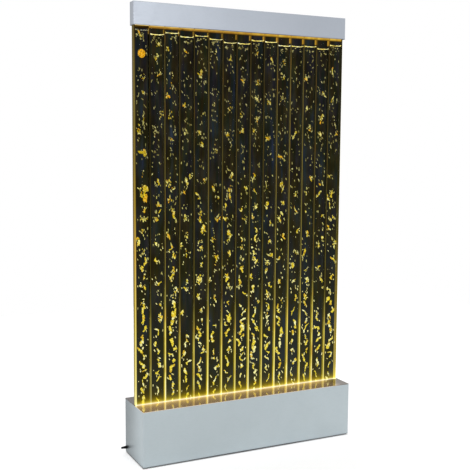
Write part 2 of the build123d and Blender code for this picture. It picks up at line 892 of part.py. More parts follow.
def power_supply_parts():
    """The transformer, two capacitors and a heat sink on the board."""
    middle = (supply_left + supply_right) / 2
    half_length = transformer_length / 2
    y_low = supply_front + part_spacing
    transformer = block(
        middle - half_length, middle + half_length, y_low, y_low + transformer_width,
        board_top, board_top + transformer_height,
    )
    capacitor_y = y_low + transformer_width / 2
    reach = half_length + part_spacing
    capacitors = [
        bar_z(capacitor_radius, middle + side * reach, capacitor_y, board_top, board_top + capacitor_height)
        for side in (-1, 1)
    ]
    sink_back = supply_back - part_spacing
    sink = block(
        middle - transformer_length, middle + transformer_length, sink_back - sink_thick, sink_back,
        board_top, board_top + sink_height,
    )
    return group([transformer, *capacitors, sink])


def terminal_block():
    """The mains terminals: a stepped block on the bottom plate."""
    half_length = terminal_length / 2
    half = terminal_width / 2
    x_low = terminal_x - half_length
    x_high = terminal_x + half_length
    body = block(x_low, x_high, pump_y - half, pump_y + half, deck, deck + terminal_height)
    for side in (-1, 1):
        edge = pump_y + side * half
        inner = edge - side * terminal_step
        body -= block(
            x_low - overrun, x_high + overrun, min(edge, inner), max(edge, inner),
            deck + terminal_height - terminal_step, deck + terminal_height + overrun,
        )
    return body


def light_controller():
    """The closed box that drives the light board."""
    box = block(
        controller_left, controller_right, controller_front, controller_back, deck, controller_top
    )
    return chamfer(box.faces().sort_by(Axis.Z)[-1].edges(), controller_edge)


def mains_leads():
    """Leads from the terminals to the pump, to the power supply and to the switch."""
    half_length = terminal_length / 2
    terminal_z = deck + terminal_height / 2
    left = terminal_x - half_length
    right = terminal_x + half_length
    to_pump = lead(
        [
            (left, pump_y, terminal_z), (left - lead_slope, pump_y, terminal_z),
            (left - lead_slope * 2, pump_y, lead_z), (pump_right - pump_wall, pump_y, lead_z),
        ],
        lead_radius, lead_bend,
    )
    to_supply = lead(
        [
            (right, pump_y, terminal_z), (right + lead_slope, pump_y, terminal_z),
            (right + lead_slope * 2, pump_y, lead_z), (supply_left + supply_sheet, pump_y, lead_z),
        ],
        lead_radius, lead_bend,
    )
    terminal_top = deck + terminal_height
    tab_z = switch_z - tab_pitch / 2 - tab_width / 2
    tab_y = half_depth - switch_body_depth - tab_length / 2
    to_switch = lead(
        [
            (switch_x, tab_y, tab_z), (switch_x, tab_y, terminal_top + lead_slope * 2),
            (terminal_x, pump_y, terminal_top + lead_slope * 2), (terminal_x, pump_y, terminal_top),
        ],
        lead_radius, lead_bend,
    )
    return group([to_pump, to_supply, to_switch])


def low_voltage_leads():
    """Leads from the supply to the controller, and from the controller up to the light board."""
    to_controller = lead(
        [
            (supply_right - supply_sheet, pump_y, lead_z),
            (supply_right + controller_from_supply / 2, pump_y, lead_z),
            (supply_right + controller_from_supply / 2, controller_y, deck + controller_height / 2),
            (controller_left, controller_y, deck + controller_height / 2),
        ],
        lead_radius, lead_radius * 2,
    )
    run_z = deck + controller_height / 2
    to_board = lead(
        [
            (controller_x, controller_front, run_z), (controller_x, light_lead_y, run_z),
            (light_lead_x, light_lead_y, run_z), (light_lead_x, light_lead_y, light_floor + light_board_thick),
        ],
        lead_radius, lead_bend,
    )
    return group([to_controller, to_board])


nodes["power_supply_case"] = power_supply_case()
nodes["power_supply_board"] = power_supply_board()
nodes["power_supply_parts"] = power_supply_parts()
nodes["terminal_block"] = terminal_block()
nodes["light_controller"] = light_controller()
nodes["mains_leads"] = mains_leads()
nodes["low_voltage_leads"] = low_voltage_leads()

# Switch

pivot_y = half_depth + switch_flange_thick / 2


def switch_bezel():
    """The switch body, pushed in from behind, with its rim, rocker pocket and contact tabs."""
    half_x = switch_body_width / 2
    half_z = switch_body_height / 2
    back = half_depth - switch_body_depth
    front = half_depth + switch_flange_thick
    body = block(switch_x - half_x, switch_x + half_x, back, half_depth, switch_z - half_z, switch_z + half_z)
    rim_x = half_x + switch_flange
    rim_z = half_z + switch_flange
    body += block(switch_x - rim_x, switch_x + rim_x, half_depth, front, switch_z - rim_z, switch_z + rim_z)
    body -= block(
        switch_x - pocket_width / 2, switch_x + pocket_width / 2,
        front - pocket_depth, front + overrun,
        switch_z - pocket_height / 2, switch_z + pocket_height / 2,
    )
    hole_reach = pocket_width / 2 + rocker_pin_reach + fit_clearance
    hole = rocker_pin_radius + running_clearance
    body -= bar_x(hole, switch_x - hole_reach, switch_x + hole_reach, pivot_y, switch_z)
    for side in (-1, 1):
        z = switch_z + side * tab_pitch / 2
        body += block(
            switch_x - tab_thick / 2, switch_x + tab_thick / 2, back - tab_length, back,
            z - tab_width / 2, z + tab_width / 2,
        )
    return body


def switch_rocker():
    """The rocker, hollow-faced, pressed in at its lower end at rest."""
    points = [
        (rocker_end_rise, -rocker_half_length), (rocker_mid_rise, 0), (rocker_end_rise, rocker_half_length),
        (-rocker_root, rocker_root_half), (-rocker_root, -rocker_root_half),
    ]
    profile = make_face(Plane.YZ * Polyline(*points, close=True))
    rocker = Pos(-rocker_width / 2, 0, 0) * extrude(profile, rocker_width)
    pin_half = pocket_width / 2 + rocker_pin_reach
    rocker += bar_x(rocker_pin_radius, -pin_half, pin_half, 0, 0)
    return Pos(switch_x, pivot_y, switch_z) * Rot(-rocker_tilt, 0, 0) * rocker


nodes["switch_bezel"] = switch_bezel()
nodes["switch_rocker"] = switch_rocker()

# Service door

knuckle_length = door_height / knuckle_count


def service_door():
    """The flush door, with vents and a finger hole."""
    door = block(hinge_x + knuckle_side_gap, door_right, inner_half_depth, half_depth, door_bottom, door_top)
    middle_x = (hinge_x + door_right) / 2
    middle_z = (door_bottom + door_top) / 2
    cut = (inner_half_depth - overrun, half_depth + overrun)
    door -= bar_y(finger_hole_radius, door_right - finger_hole_inset, *cut, middle_z)
    for index in range(vent_count):
        z = middle_z + (index - (vent_count - 1) / 2) * vent_pitch
        slot = Rot(90, 0, 0) * extrude(SlotOverall(vent_length, vent_height), base_sheet * 2, both=True)
        door -= Pos(middle_x, inner_half_depth, z) * slot
    return door


def hinge_leaf(side):
    """One leaf with its knuckles: side -1 on the wall has the outer two, side 1 on the door the middle one."""
    near = hinge_x + side * knuckle_side_gap
    far = near + side * leaf_width
    leaf_back = hinge_y + leaf_thick
    leaf = block(min(near, far), max(near, far), hinge_y, leaf_back, door_bottom, door_top)
    for index in range(knuckle_count):
        if (index % 2 == 0) != (side == -1):
            continue
        z_low = door_bottom + index * knuckle_length + (knuckle_end_gap if index else 0)
        last = index == knuckle_count - 1
        z_high = door_bottom + (index + 1) * knuckle_length - (0 if last else knuckle_end_gap)
        leaf += block(min(near, hinge_x), max(near, hinge_x), hinge_y, leaf_back, z_low, z_high)
        leaf += bar_z(knuckle_radius, hinge_x, hinge_y, z_low, z_high)
    bore = hinge_pin_radius + running_clearance
    return leaf - bar_z(bore, hinge_x, hinge_y, door_bottom - overrun, door_top + overrun)


def door_catches():
    """Two magnets behind the door's free edge."""
    catches = []
    x_low = door_right - catch_lap
    for z in (door_bottom + catch_inset, door_top - catch_inset):
        catches.append(block(
            x_low, x_low + catch_length, inner_half_depth - catch_depth, inner_half_depth,
            z - catch_height / 2, z + catch_height / 2,
        ))
    return group(catches)


nodes["service_door"] = service_door()
nodes["door_hinge_leaf"] = hinge_leaf(1)
nodes["wall_hinge_leaf"] = hinge_leaf(-1)
nodes["hinge_pin"] = bar_z(hinge_pin_radius, hinge_x, hinge_y, door_bottom, door_top)
nodes["door_catches"] = door_catches()

# Gland


def gland_body():
    """The black gland: thread through the wall, collar and tapered nose, bored for a lead."""
    outer = -half_width
    collar_end = outer - gland_collar_length
    body = bar_x(gland_collar_radius, collar_end, outer, gland_y, gland_z)
    body += bar_x(gland_thread_radius, outer, -inner_half_width + gland_thread_length, gland_y, gland_z)
    nose_length = gland_reach - gland_collar_length
    nose = Rot(0, -90, 0) * Cone(gland_root_radius, gland_tip_radius, nose_length)
    body += Pos(collar_end - nose_length / 2, gland_y, gland_z) * nose
    inside_end = -inner_half_width + gland_thread_length + overrun
    return body - bar_x(gland_bore, outer - gland_reach - overrun, inside_end, gland_y, gland_z)


def gland_locknut():
    """The six-sided nut against the inside of the wall."""
    hexagon = RegularPolygon(locknut_flats / 2, 6, major_radius=False)
    nut = extrude(hexagon, locknut_thick)
    nut -= bar_z(gland_thread_radius + fit_clearance, 0, 0, -overrun, locknut_thick + overrun)
    return Pos(-inner_half_width, gland_y, gland_z) * Rot(0, 90, 0) * nut


nodes["gland_body"] = gland_body()
nodes["gland_locknut"] = gland_locknut()

# Cap

cap_roof = wall_height - cap_sheet
cap_inner_half = cap_depth / 2 - cap_sheet
web_top = panel_top + cap_pad_thick + bridge_sheet


def cap_shell():
    """The bent and welded cap, open underneath."""
    shell = rounded_block(wall_width, cap_depth, cap_corner, cap_bottom, wall_height)
    shell = fillet(shell.faces().sort_by(Axis.Z)[-1].edges(), cap_top_round)
    inside_width = wall_width - cap_sheet * 2
    inside_corner = cap_corner - cap_sheet
    return shell - rounded_block(inside_width, cap_inner_half * 2, inside_corner, cap_bottom - overrun, cap_roof)


def bridge_places():
    """The middles of the bridges along the cap."""
    far = half_width - bridge_from_end
    step = far * 2 / (bridge_count - 1)
    return [-far + step * index for index in range(bridge_count)]


def cap_bridges():
    """Hat-shaped brackets welded under the cap's roof, which carry it on the panel."""
    half_web = bridge_web / 2
    brim_end = half_web + bridge_brim
    web_bottom = panel_top + cap_pad_thick
    bridges = []
    for x in bridge_places():
        x_low = x - bridge_length / 2
        x_high = x + bridge_length / 2
        hat = block(x_low, x_high, -half_web, half_web, web_bottom, cap_roof)
        inside = half_web - bridge_sheet
        hat -= block(x_low - overrun, x_high + overrun, -inside, inside, web_top, cap_roof + overrun)
        hat += block(x_low, x_high, -brim_end, -half_web, cap_roof - bridge_sheet, cap_roof)
        hat += block(x_low, x_high, half_web, brim_end, cap_roof - bridge_sheet, cap_roof)
        bridges.append(hat)
    return group(bridges)


def cap_pads():
    """A rubber pad under each bridge."""
    half_length = bridge_length / 2
    return group([
        block(x - half_length, x + half_length, panel_front, panel_back, panel_top, panel_top + cap_pad_thick)
        for x in bridge_places()
    ])


def cap_guides():
    """Soft strips inside the cap's long walls, which centre it on the panel."""
    x_far = half_width - cap_guide_end
    z_low = cap_bottom + cap_guide_rise
    z_high = z_low + cap_guide_height
    near = panel_thick / 2 + touch_gap
    return group([
        block(-x_far, x_far, -cap_inner_half, -near, z_low, z_high),
        block(-x_far, x_far, near, cap_inner_half, z_low, z_high),
    ])


nodes["cap_shell"] = cap_shell()
nodes["cap_bridges"] = cap_bridges()
nodes["cap_pads"] = cap_pads()
nodes["cap_guides"] = cap_guides()

os.makedirs("parts", exist_ok=True)
for name, shape in nodes.items():
    export_step(shape, os.path.join("parts", name + ".step"))
print(len(nodes), "nodes written")
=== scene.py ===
"""Finishes, water and bubbles for the bubble wall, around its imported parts.

Metres, +Z up, front towards -Y. The parts keep their shape and get their finishes here. Water with
a curved, lit surface takes the place of the plain water columns, and a folded bellows that of the
plain one. The rising bubbles are added to the water.
"""
import math
import random

import bmesh
import bpy
from mathutils import Matrix, Vector, noise


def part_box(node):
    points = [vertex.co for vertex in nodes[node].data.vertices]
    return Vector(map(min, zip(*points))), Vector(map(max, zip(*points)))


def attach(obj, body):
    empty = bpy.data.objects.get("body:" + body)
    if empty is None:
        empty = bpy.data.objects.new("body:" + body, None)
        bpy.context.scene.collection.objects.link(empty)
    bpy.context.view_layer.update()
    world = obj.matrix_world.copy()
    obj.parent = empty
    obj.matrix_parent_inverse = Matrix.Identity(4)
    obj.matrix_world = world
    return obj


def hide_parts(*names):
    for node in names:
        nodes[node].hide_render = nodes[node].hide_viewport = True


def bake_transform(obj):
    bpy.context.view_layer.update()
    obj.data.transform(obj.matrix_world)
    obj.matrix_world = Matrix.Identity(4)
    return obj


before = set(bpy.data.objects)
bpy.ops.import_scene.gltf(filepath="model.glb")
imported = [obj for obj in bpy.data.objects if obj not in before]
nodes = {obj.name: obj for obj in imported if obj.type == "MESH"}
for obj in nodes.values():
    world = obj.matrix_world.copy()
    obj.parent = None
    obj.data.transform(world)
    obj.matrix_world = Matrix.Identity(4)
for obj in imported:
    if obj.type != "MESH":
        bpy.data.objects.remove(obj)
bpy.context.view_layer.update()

# Places read from the parts
foot_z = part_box("top_plate_front")[1].z
cap_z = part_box("cap_shell")[0].z
end_wall_low, end_wall_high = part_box("left_end_wall")
rib_thick = end_wall_high.x - end_wall_low.x
panel_left = end_wall_low.x
panel_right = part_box("right_end_wall")[1].x
channel_front = end_wall_low.y
channel_back = end_wall_high.y
channel_y = (channel_front + channel_back) / 2
panel_front, panel_behind_front = (corner.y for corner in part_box("front_sheet"))
backing_front, panel_back = (corner.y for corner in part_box("backing_sheet"))
water_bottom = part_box("water_columns")[0].z
channel_count = 15
channel_pitch = (panel_right - panel_left - rib_thick) / channel_count
channel_width = channel_pitch - rib_thick

# Camera, from a fit of the photograph's view to the corners of the cap, panel and base
camera_azimuth = -26.16
camera_elevation = 6.19
camera_roll = 0.403
camera_distance = 3.657
camera_target = (-0.0332, 0.0, 0.9385)
camera_lens = 64.4
camera_sensor = 36.0

# Stage
floor_reach = 3.2
floor_glow = 0.46           # besides the lamps' light, so that the floor shows white
ambient_light = 0.55
lamps = (                   # name, place, aim, size and power
    ("front_lamp", (0.2, -3.6, 2.3), (-0.4, 0.0, 1.8), 1.6, 14.0),
    ("left_lamp", (-2.6, -3.2, 2.8), (0.0, 0.0, 0.9), 2.2, 40.0),
    ("right_lamp", (3.6, -0.6, 2.6), (0.0, 0.0, 0.9), 2.6, 8.0),
    ("rear_lamp", (0.6, 3.4, 2.6), (0.0, 0.0, 0.9), 2.4, 40.0),
)

# Metal
grain_depth = 0.0002        # relief of the grain in metal, plastic and rubber
track_depth = 0.0001        # relief of a board's copper tracks
wire_depth = 0.0003         # relief of the coil's turns
base_end_shade = (0.96, 0.5)     # painted shade on the ends of the base and the cap: how bright they are at their front and back
cap_end_shade = (0.98, 0.85)
highlight_rim_width = 0.002           # width of the painted highlight along the edges of a sheet steel box
shade_line_heights = (0.0042, 0.001)  # above a box's lower edge, where its painted shadow line begins and is full
shade_line_reach = (0.15, 0.35)    # from the box's middle, where that painted shadow line begins and ends to grow fainter
shade_line_levels = (0.9, 0.55)    # how dark the painted shadow line is within that reach and beyond it

# Light of the panel; each pair is where a change begins and where it is full
lip_heights = (0.0125, 0.0035)  # below the cap: the lip of the channel heads
stub_heights = (0.034, 0.027)  # below the cap: the amber ends of the ribs
edge_heights = (0.001, -0.001)  # below the cap: the bright edge of the channel heads
head_turn = (-0.15, 0.2)    # from the middle: the heads' light turns from brown to golden
edge_turn = (0.05, -0.3)    # from the middle: their edge grows brighter to the left
stub_turn = (-0.1, 0.15)    # from the middle: the ends of the ribs grow brighter to the right
ground_turn = (-0.2, 0.3)   # from the middle: the backing's low light changes its hue
plate_reach = (0.09, 0.0)   # before the panel: its glow on the polished plates
plate_end = (0.02, 0.11)    # from the panel's right end: the same glow
plate_turn = (-0.3, 0.0)    # from the middle: that glow grows a little fainter to the right

# Water
water_gap = 0.00015         # between the water and the walls that hold it
water_line_height = 0.0054  # lit edge of the water's surface
meniscus_rise = 0.003       # how far the water climbs up the walls
meniscus_reach = 0.0055     # how far from the walls that has faded
ripple_height = 0.0016
surface_steps = 28

# Pump bellows
bellows_clearance = 0.00005
bellows_collar = 0.0006
bellows_folds = 3
bellows_fold_depth = 0.0025
bellows_steps = 30
bellows_segments = 40

# Bubbles
bubble_seed = 7
ball_subdivisions = 2
bubble_wall_gap = 0.0012    # bubbles keep this clear of the channel's walls
train_start = 0.012         # first bubble above the channel floor
lower_share = 0.26          # of the water's height, where the bubbles still rise in a train
middle_share = 0.64         # of the water's height, up to which they come in close flocks
busy_channels = (0, 2, 4, 8, 9, 14)  # those with the most bubbles, counted from the left
channel_vigour = (0.6, 0.95)  # how densely the bubbles of a channel follow each other
busy_vigour = 1.4           # in the busy channels, times as dense
calm_share = 0.05           # of the water's height, where the train still rises straight
train_swing = (0.004, 0.010)  # how far the train winds to either side, and in what height
train_wave = (0.10, 0.20)
train_lengths = (0.7, 1.15)  # times the lower share
train_thickness = (0.0021, 0.0040)
train_gap = (0.005, 0.024)
train_ribbons = 0.75        # share of ribbons in the train; the rest are clumps
train_clump_reach = (0.003, 0.006)
train_chip_reach = 0.016
flock_thickness = (0.0014, 0.0034)
flock_reach = (0.004, 0.0085)
flock_spread = 0.010        # to the sides
flock_ribbons = 0.3
flock_chip_reach = 0.014
flock_end = 0.02            # below the surface
close_gap = (0.012, 0.085)  # between flocks up to the middle share
loose_gap = (0.04, 0.20)    # between flocks above it
lobe_length = (0.006, 0.012)
lobe_depth = 0.0042         # from front to back, at most
clump_lean = (-0.2, 0.5)    # mean tilt and its spread, as for the other leans
chip_thickness = (0.0013, 0.0024)
chip_slimness = (1.5, 3.4)  # times the thickness
chip_lean = (-0.25, 0.4)
speck_thickness = (0.0010, 0.0020)
speck_slimness = (1.8, 4.2)
speck_lean = (-0.2, 0.3)
speck_wall_gap = 0.006
speck_depth = 0.0035        # to the front and back
speck_end = 0.012           # below the surface
speck_bands = (             # from and up to a share of the water's height, and height for each speck
    (0.02, lower_share, 0.045),
    (lower_share, middle_share, 0.018),
    (middle_share, 1.0, 0.0115),
)
froth_thickness = (0.002, 0.0045)
froth_depth = 0.002
froth_drop = (0.006, 0.022)  # below the surface
froth_wall_gap = 0.008
large_bubble_depth = 0.0045


class Graph:
    """Short calls that add and join the nodes of one node tree."""

    def __init__(self, tree):
        self.tree = tree

    def node(self, kind, **settings):
        made = self.tree.nodes.new(kind)
        for name, value in settings.items():
            setattr(made, name, value)
        return made

    def feed(self, socket, value):
        """Joins an output to a socket, or sets the socket's own value."""
        if isinstance(value, bpy.types.NodeSocket):
            self.tree.links.new(value, socket)
        elif socket.type == "RGBA":
            socket.default_value = (*value, 1.0)
        else:
            socket.default_value = value

    def fill(self, sockets, **values):
        """Feeds sockets by their names, which are written with underscores."""
        for name, value in values.items():
            self.feed(sockets[name.replace("_", " ")], value)

    def math(self, operation, *values, clamp=False):
        made = self.node("ShaderNodeMath", operation=operation, use_clamp=clamp)
        for socket, value in zip(made.inputs, values):
            self.feed(socket, value)
        return made.outputs[0]

    def times(self, *values):
        """Values multiplied with each other."""
        product = values[0]
        for value in values[1:]:
            product = self.math("MULTIPLY", product, value)
        return product

    def scaled(self, value, factor, offset):
        """A value times a factor, plus an offset."""
        return self.math("MULTIPLY_ADD", value, factor, offset)

    def centred(self, value):
        """A value from 0 to 1, moved to lie about 0."""
        return self.math("SUBTRACT", value, 0.5)

    def share(self, value, low, high):
        """How far a value lies on the way from low to high, and beyond."""
        return self.math("DIVIDE", self.math("SUBTRACT", value, low), high - low)

    def span(self, value, low, high, to_low=0.0, to_high=1.0):
        """A smooth step of value from low to high."""
        made = self.node("ShaderNodeMapRange", interpolation_type="SMOOTHSTEP")
        self.fill(made.inputs, Value=value, From_Min=low, From_Max=high, To_Min=to_low, To_Max=to_high)
        return made.outputs["Result"]

    def mix(self, share, low, high, blend="MIX"):
        made = self.node("ShaderNodeMix", data_type="RGBA", blend_type=blend)
        self.feed(made.inputs["Factor"], share)
        ends = [socket for socket in made.inputs if socket.type == "RGBA"]
        self.feed(ends[0], low)
        self.feed(ends[1], high)
        return next(socket for socket in made.outputs if socket.type == "RGBA")

    def grey(self, value):
        """A value as a grey, to multiply a colour with."""
        made = self.node("ShaderNodeCombineColor")
        self.fill(made.inputs, Red=value, Green=value, Blue=value)
        return made.outputs["Color"]

    def dimmed(self, colour, value):
        """A colour times a value."""
        return self.mix(1.0, colour, self.grey(value), "MULTIPLY")

    def ramp(self, value, *stops):
        """A colour ramp from (place, colour) stops, with the colours as on a screen."""
        made = self.node("ShaderNodeValToRGB")
        self.feed(made.inputs["Fac"], value)
        marks = made.color_ramp.elements
        while len(marks) < len(stops):
            marks.new(1.0)
        for mark, (place, colour) in zip(marks, stops):
            mark.position = place
            mark.color = (*screen(*colour), 1.0)
        return made.outputs["Color"]

    def place(self):
        """The place on the piece, in metres, at rest."""
        return self.node("ShaderNodeTexCoord").outputs["Object"]

    def axes(self, vector=None):
        made = self.node("ShaderNodeSeparateXYZ")
        self.feed(made.inputs[0], vector if vector is not None else self.place())
        return made.outputs

    def noise(self, scale, stretch=None, detail=2.0, roughness=0.5):
        """Cloudy noise, finer along an axis the more that axis is stretched."""
        place = self.place()
        if stretch is not None:
            made = self.node("ShaderNodeVectorMath", operation="MULTIPLY")
            self.feed(made.inputs[0], place)
            self.feed(made.inputs[1], stretch)
            place = made.outputs["Vector"]
        made = self.node("ShaderNodeTexNoise")
        self.fill(made.inputs, Vector=place, Scale=scale, Detail=detail, Roughness=roughness)
        return made.outputs["Fac"]

    def chance(self, number, seed):
        """A steady random value from 0 to 1 for each whole number."""
        made = self.node("ShaderNodeTexWhiteNoise", noise_dimensions="1D")
        self.feed(made.inputs["W"], self.math("ADD", number, seed))
        return made.outputs["Value"]

    def bump(self, height, distance, strength):
        made = self.node("ShaderNodeBump")
        self.fill(made.inputs, Height=height, Distance=distance, Strength=strength)
        return made.outputs["Normal"]

    def group(self, tree, **values):
        """Places a shared effect."""
        made = self.node("ShaderNodeGroup", node_tree=tree)
        self.fill(made.inputs, **values)
        return made.outputs

    def panel_share(self):
        """The height of a place as a share of the panel's height between base and cap."""
        return self.share(self.axes()["Z"], foot_z, cap_z)

    def below_cap(self, heights):
        """A step that begins at the first height below the cap and is full at the second."""
        return self.span(self.axes()["Z"], *(cap_z - height for height in heights))

    def seen(self):
        """1 for what the camera, a reflection or a clear sheet shows, and 0 for what gives light."""
        path = self.node("ShaderNodeLightPath").outputs
        shown = self.math("MAXIMUM", path["Is Camera Ray"], path["Is Glossy Ray"])
        return self.math("MAXIMUM", shown, path["Is Transmission Ray"])


class Finish(Graph):
    """A material and its graph. Its shader's inputs are named with underscores."""

    def __init__(self, name, **values):
        self.material = bpy.data.materials.new(name)
        self.material.use_nodes = True
        super().__init__(self.material.node_tree)
        self.set(**values)

    def set(self, **values):
        """Sets or joins inputs of the shader."""
        self.fill(self.tree.nodes["Principled BSDF"].inputs, **values)

    def glow(self, colour):
        """Gives off a colour just as it is written."""
        self.set(Emission_Color=colour, Emission_Strength=1.0)


def screen(red, green, blue):
    """A colour given as on a screen, 0 to 255, as light values."""
    def light(level):
        share = level / 255
        return share / 12.92 if share <= 0.04045 else ((share + 0.055) / 1.055) ** 2.4
    return light(red), light(green), light(blue)


def toned(colour, spread):
    """A colour made darker and lighter by a share of itself."""
    darker = tuple(level * (1 - spread) for level in colour)
    lighter = tuple(min(level * (1 + spread), 1.0) for level in colour)
    return darker, lighter


def new_effect(name, inputs, outputs):
    """An empty node group; its inputs come with their values, and its outputs are numbers."""
    tree = bpy.data.node_groups.new(name, "ShaderNodeTree")
    for label, value in inputs.items():
        kind = "NodeSocketVector" if isinstance(value, tuple) else "NodeSocketFloat"
        socket = tree.interface.new_socket(label, in_out="INPUT", socket_type=kind)
        socket.default_value = value
    for label in outputs:
        tree.interface.new_socket(label, in_out="OUTPUT", socket_type="NodeSocketFloat")
    graph = Graph(tree)
    return tree, graph, graph.node("NodeGroupInput").outputs, graph.node("NodeGroupOutput").inputs


# Shared effects


def grain_effect():
    """Fine drawn-out grain, as rolling or brushing leaves it."""
    tree, graph, given, out = new_effect(
        "drawn grain", {"Stretch": (1.0, 1.0, 1.0), "Scale": 100.0}, ("Height", "Cloud")
    )
    fine = graph.noise(given["Scale"], given["Stretch"], detail=3.0, roughness=0.65)
    graph.fill(out, Height=fine, Cloud=graph.noise(5.0, detail=3.0))
    return tree


def foot_light_effect():
    """Light that enters the panel at its foot: a thin core, a halo over it, and a long fade."""
    tree, graph, given, out = new_effect(
        "light from the foot", {"Core": 0.004, "Halo": 0.02, "Reach": 0.5}, ("Core", "Halo", "Fade")
    )
    above = graph.math("SUBTRACT", graph.axes()["Z"], foot_z)
    for light, reach in (("Core", "Core"), ("Halo", "Halo"), ("Fade", "Reach")):
        fallen = graph.math("DIVIDE", above, given[reach])
        faded = graph.math("EXPONENT", graph.times(fallen, -1.0))
        graph.feed(out[light], graph.math("MINIMUM", faded, 1.0))
    return tree


def facing_effect():
    """Whether a flat face looks along X."""
    tree, graph, given, out = new_effect("face direction", {}, ("Across",))
    normal = graph.axes(graph.node("ShaderNodeTexCoord").outputs["Normal"])
    along_x = graph.math("ABSOLUTE", normal["X"])
    graph.feed(out["Across"], graph.math("GREATER_THAN", along_x, 0.7))
    return tree


def dust_effect():
    """Soft smudges and small specks that dull a surface."""
    tree, graph, given, out = new_effect(
        "dust and smudges", {"Speck Scale": 900.0, "Smudge Scale": 14.0}, ("Specks", "Smudges")
    )
    specks = graph.noise(given["Speck Scale"], detail=1.0)
    smudges = graph.noise(given["Smudge Scale"], detail=4.0, roughness=0.6)
    graph.fill(out, Specks=graph.span(specks, 0.62, 0.72), Smudges=graph.span(smudges, 0.4, 0.7))
    return tree


def rim_effect():
    """The outer edges of a box-shaped piece, where two of its faces meet."""
    tree, graph, given, out = new_effect(
        "rim of a box", {"Low": (0.0, 0.0, 0.0), "High": (1.0, 1.0, 1.0), "Width": 0.003}, ("Rim",)
    )
    place = graph.axes()
    low = graph.axes(given["Low"])
    high = graph.axes(given["High"])
    near = []
    for axis in "XYZ":
        from_low = graph.math("SUBTRACT", place[axis], low[axis])
        from_high = graph.math("SUBTRACT", high[axis], place[axis])
        nearest = graph.math("MINIMUM", from_low, from_high)
        near.append(graph.span(nearest, 0.0, given["Width"], 1.0, 0.0))
    meeting = [graph.times(near[one], near[other]) for one, other in ((0, 1), (1, 2), (0, 2))]
    either = graph.math("MAXIMUM", meeting[0], meeting[1])
    graph.feed(out["Rim"], graph.math("MAXIMUM", either, meeting[2]))
    return tree


grain = grain_effect()
foot_light = foot_light_effect()
facing = facing_effect()
dust = dust_effect()
rim = rim_effect()

# Metal finishes


def metal(name, colour, roughness, stretch, grain_scale, relief, box_node=None, ends=(1, 1)):
    """A drawn or brushed metal: cloudy colour, and grain in its roughness and relief.

    A sheet steel box also gets painted highlights on its rims, painted shade on its ends towards the
    back, and a painted shadow line below.
    """
    graph = Finish(name, Metallic=1.0)
    texture = graph.group(grain, Stretch=stretch, Scale=grain_scale)
    spots = graph.group(dust)
    darker, lighter = toned(colour, 0.06)
    tint = graph.mix(texture["Cloud"], darker, lighter)
    if box_node:
        low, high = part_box(box_node)
        # Painted highlight along the box's edges.
        edge = graph.group(rim, Low=low, High=high, Width=highlight_rim_width)["Rim"]
        tint = graph.mix(graph.times(edge, 0.3), tint, lighter)
        place = graph.axes()
        # Painted shade: the end faces darken towards the back.
        depth = graph.span(place["Y"], low.y, high.y, *ends)
        across = graph.group(facing)["Across"]
        tint = graph.mix(across, tint, graph.dimmed(tint, depth))
        # Painted shadow line along the lower edge, darkest about the middle.
        shade_line_level = graph.span(graph.math("ABSOLUTE", place["X"]), *shade_line_reach, *shade_line_levels)
        shade_line_top, shade_line_bottom = (low.z + height for height in shade_line_heights)
        painted_shade_line = graph.span(place["Z"], shade_line_top, shade_line_bottom, 0.0, shade_line_level)
        tint = graph.mix(painted_shade_line, tint, (0.06, 0.065, 0.075))
    graph.set(Base_Color=tint)
    worn = graph.span(texture["Height"], 0.3, 0.7, roughness - 0.05, roughness + 0.05)
    dulled = graph.times(spots["Smudges"], 0.06)
    graph.set(Roughness=graph.math("ADD", worn, dulled))
    graph.set(Normal=graph.bump(texture["Height"], grain_depth, relief))
    return graph.material


def polished_metal():
    """The mirror plates: browned by the panel's glow before it, as painted reflection and painted light,
    dark behind it, and dark at the far end, past that glow.
    """
    graph = Finish("polished_steel", Specular_IOR_Level=0.1)
    texture = graph.group(grain, Stretch=(0.15, 1.0, 1.0), Scale=700.0)
    spots = graph.group(dust, Smudge_Scale=22.0)
    place = graph.axes()
    ahead = graph.span(place["Y"], panel_behind_front, panel_front)
    # Painted light: the panel's glow fades out past its right end.
    glow_along_panel = graph.span(place["X"], *(panel_right - reach for reach in plate_end), 0.2, 1.0)
    # Painted reflection: the mirror's colour browned by the panel's glow.
    bright = graph.mix(texture["Cloud"], (0.54, 0.48, 0.4), (0.62, 0.56, 0.48))
    bright = graph.mix(graph.times(spots["Smudges"], 0.5), bright, (0.48, 0.42, 0.36))
    rightward = graph.span(place["X"], panel_left, panel_right)
    dull = graph.mix(rightward, screen(76, 64, 58), screen(112, 106, 98))
    dull = graph.dimmed(dull, graph.scaled(texture["Cloud"], 0.3, 0.85))
    graph.set(Base_Color=graph.mix(ahead, dull, graph.dimmed(bright, glow_along_panel)))
    graph.set(Metallic=graph.times(ahead, 0.85))
    worn = graph.span(texture["Height"], 0.3, 0.7, 0.07, 0.12)
    behind = graph.scaled(ahead, -0.25, 0.25)
    graph.set(Roughness=graph.math("ADD", worn, behind))
    # Painted glow of the panel's light on the plate before it, fading away from the panel.
    near = graph.span(place["Y"], *(panel_front - reach for reach in plate_reach), 0.7, 1.0)
    glow_along_panel = graph.times(glow_along_panel, graph.span(place["X"], *plate_turn, 1.0, 0.86))
    level = graph.times(graph.times(near, ahead), glow_along_panel)
    spill = graph.mix(texture["Cloud"], screen(118, 92, 62), screen(138, 112, 82))
    graph.glow(graph.dimmed(spill, level))
    return graph.material


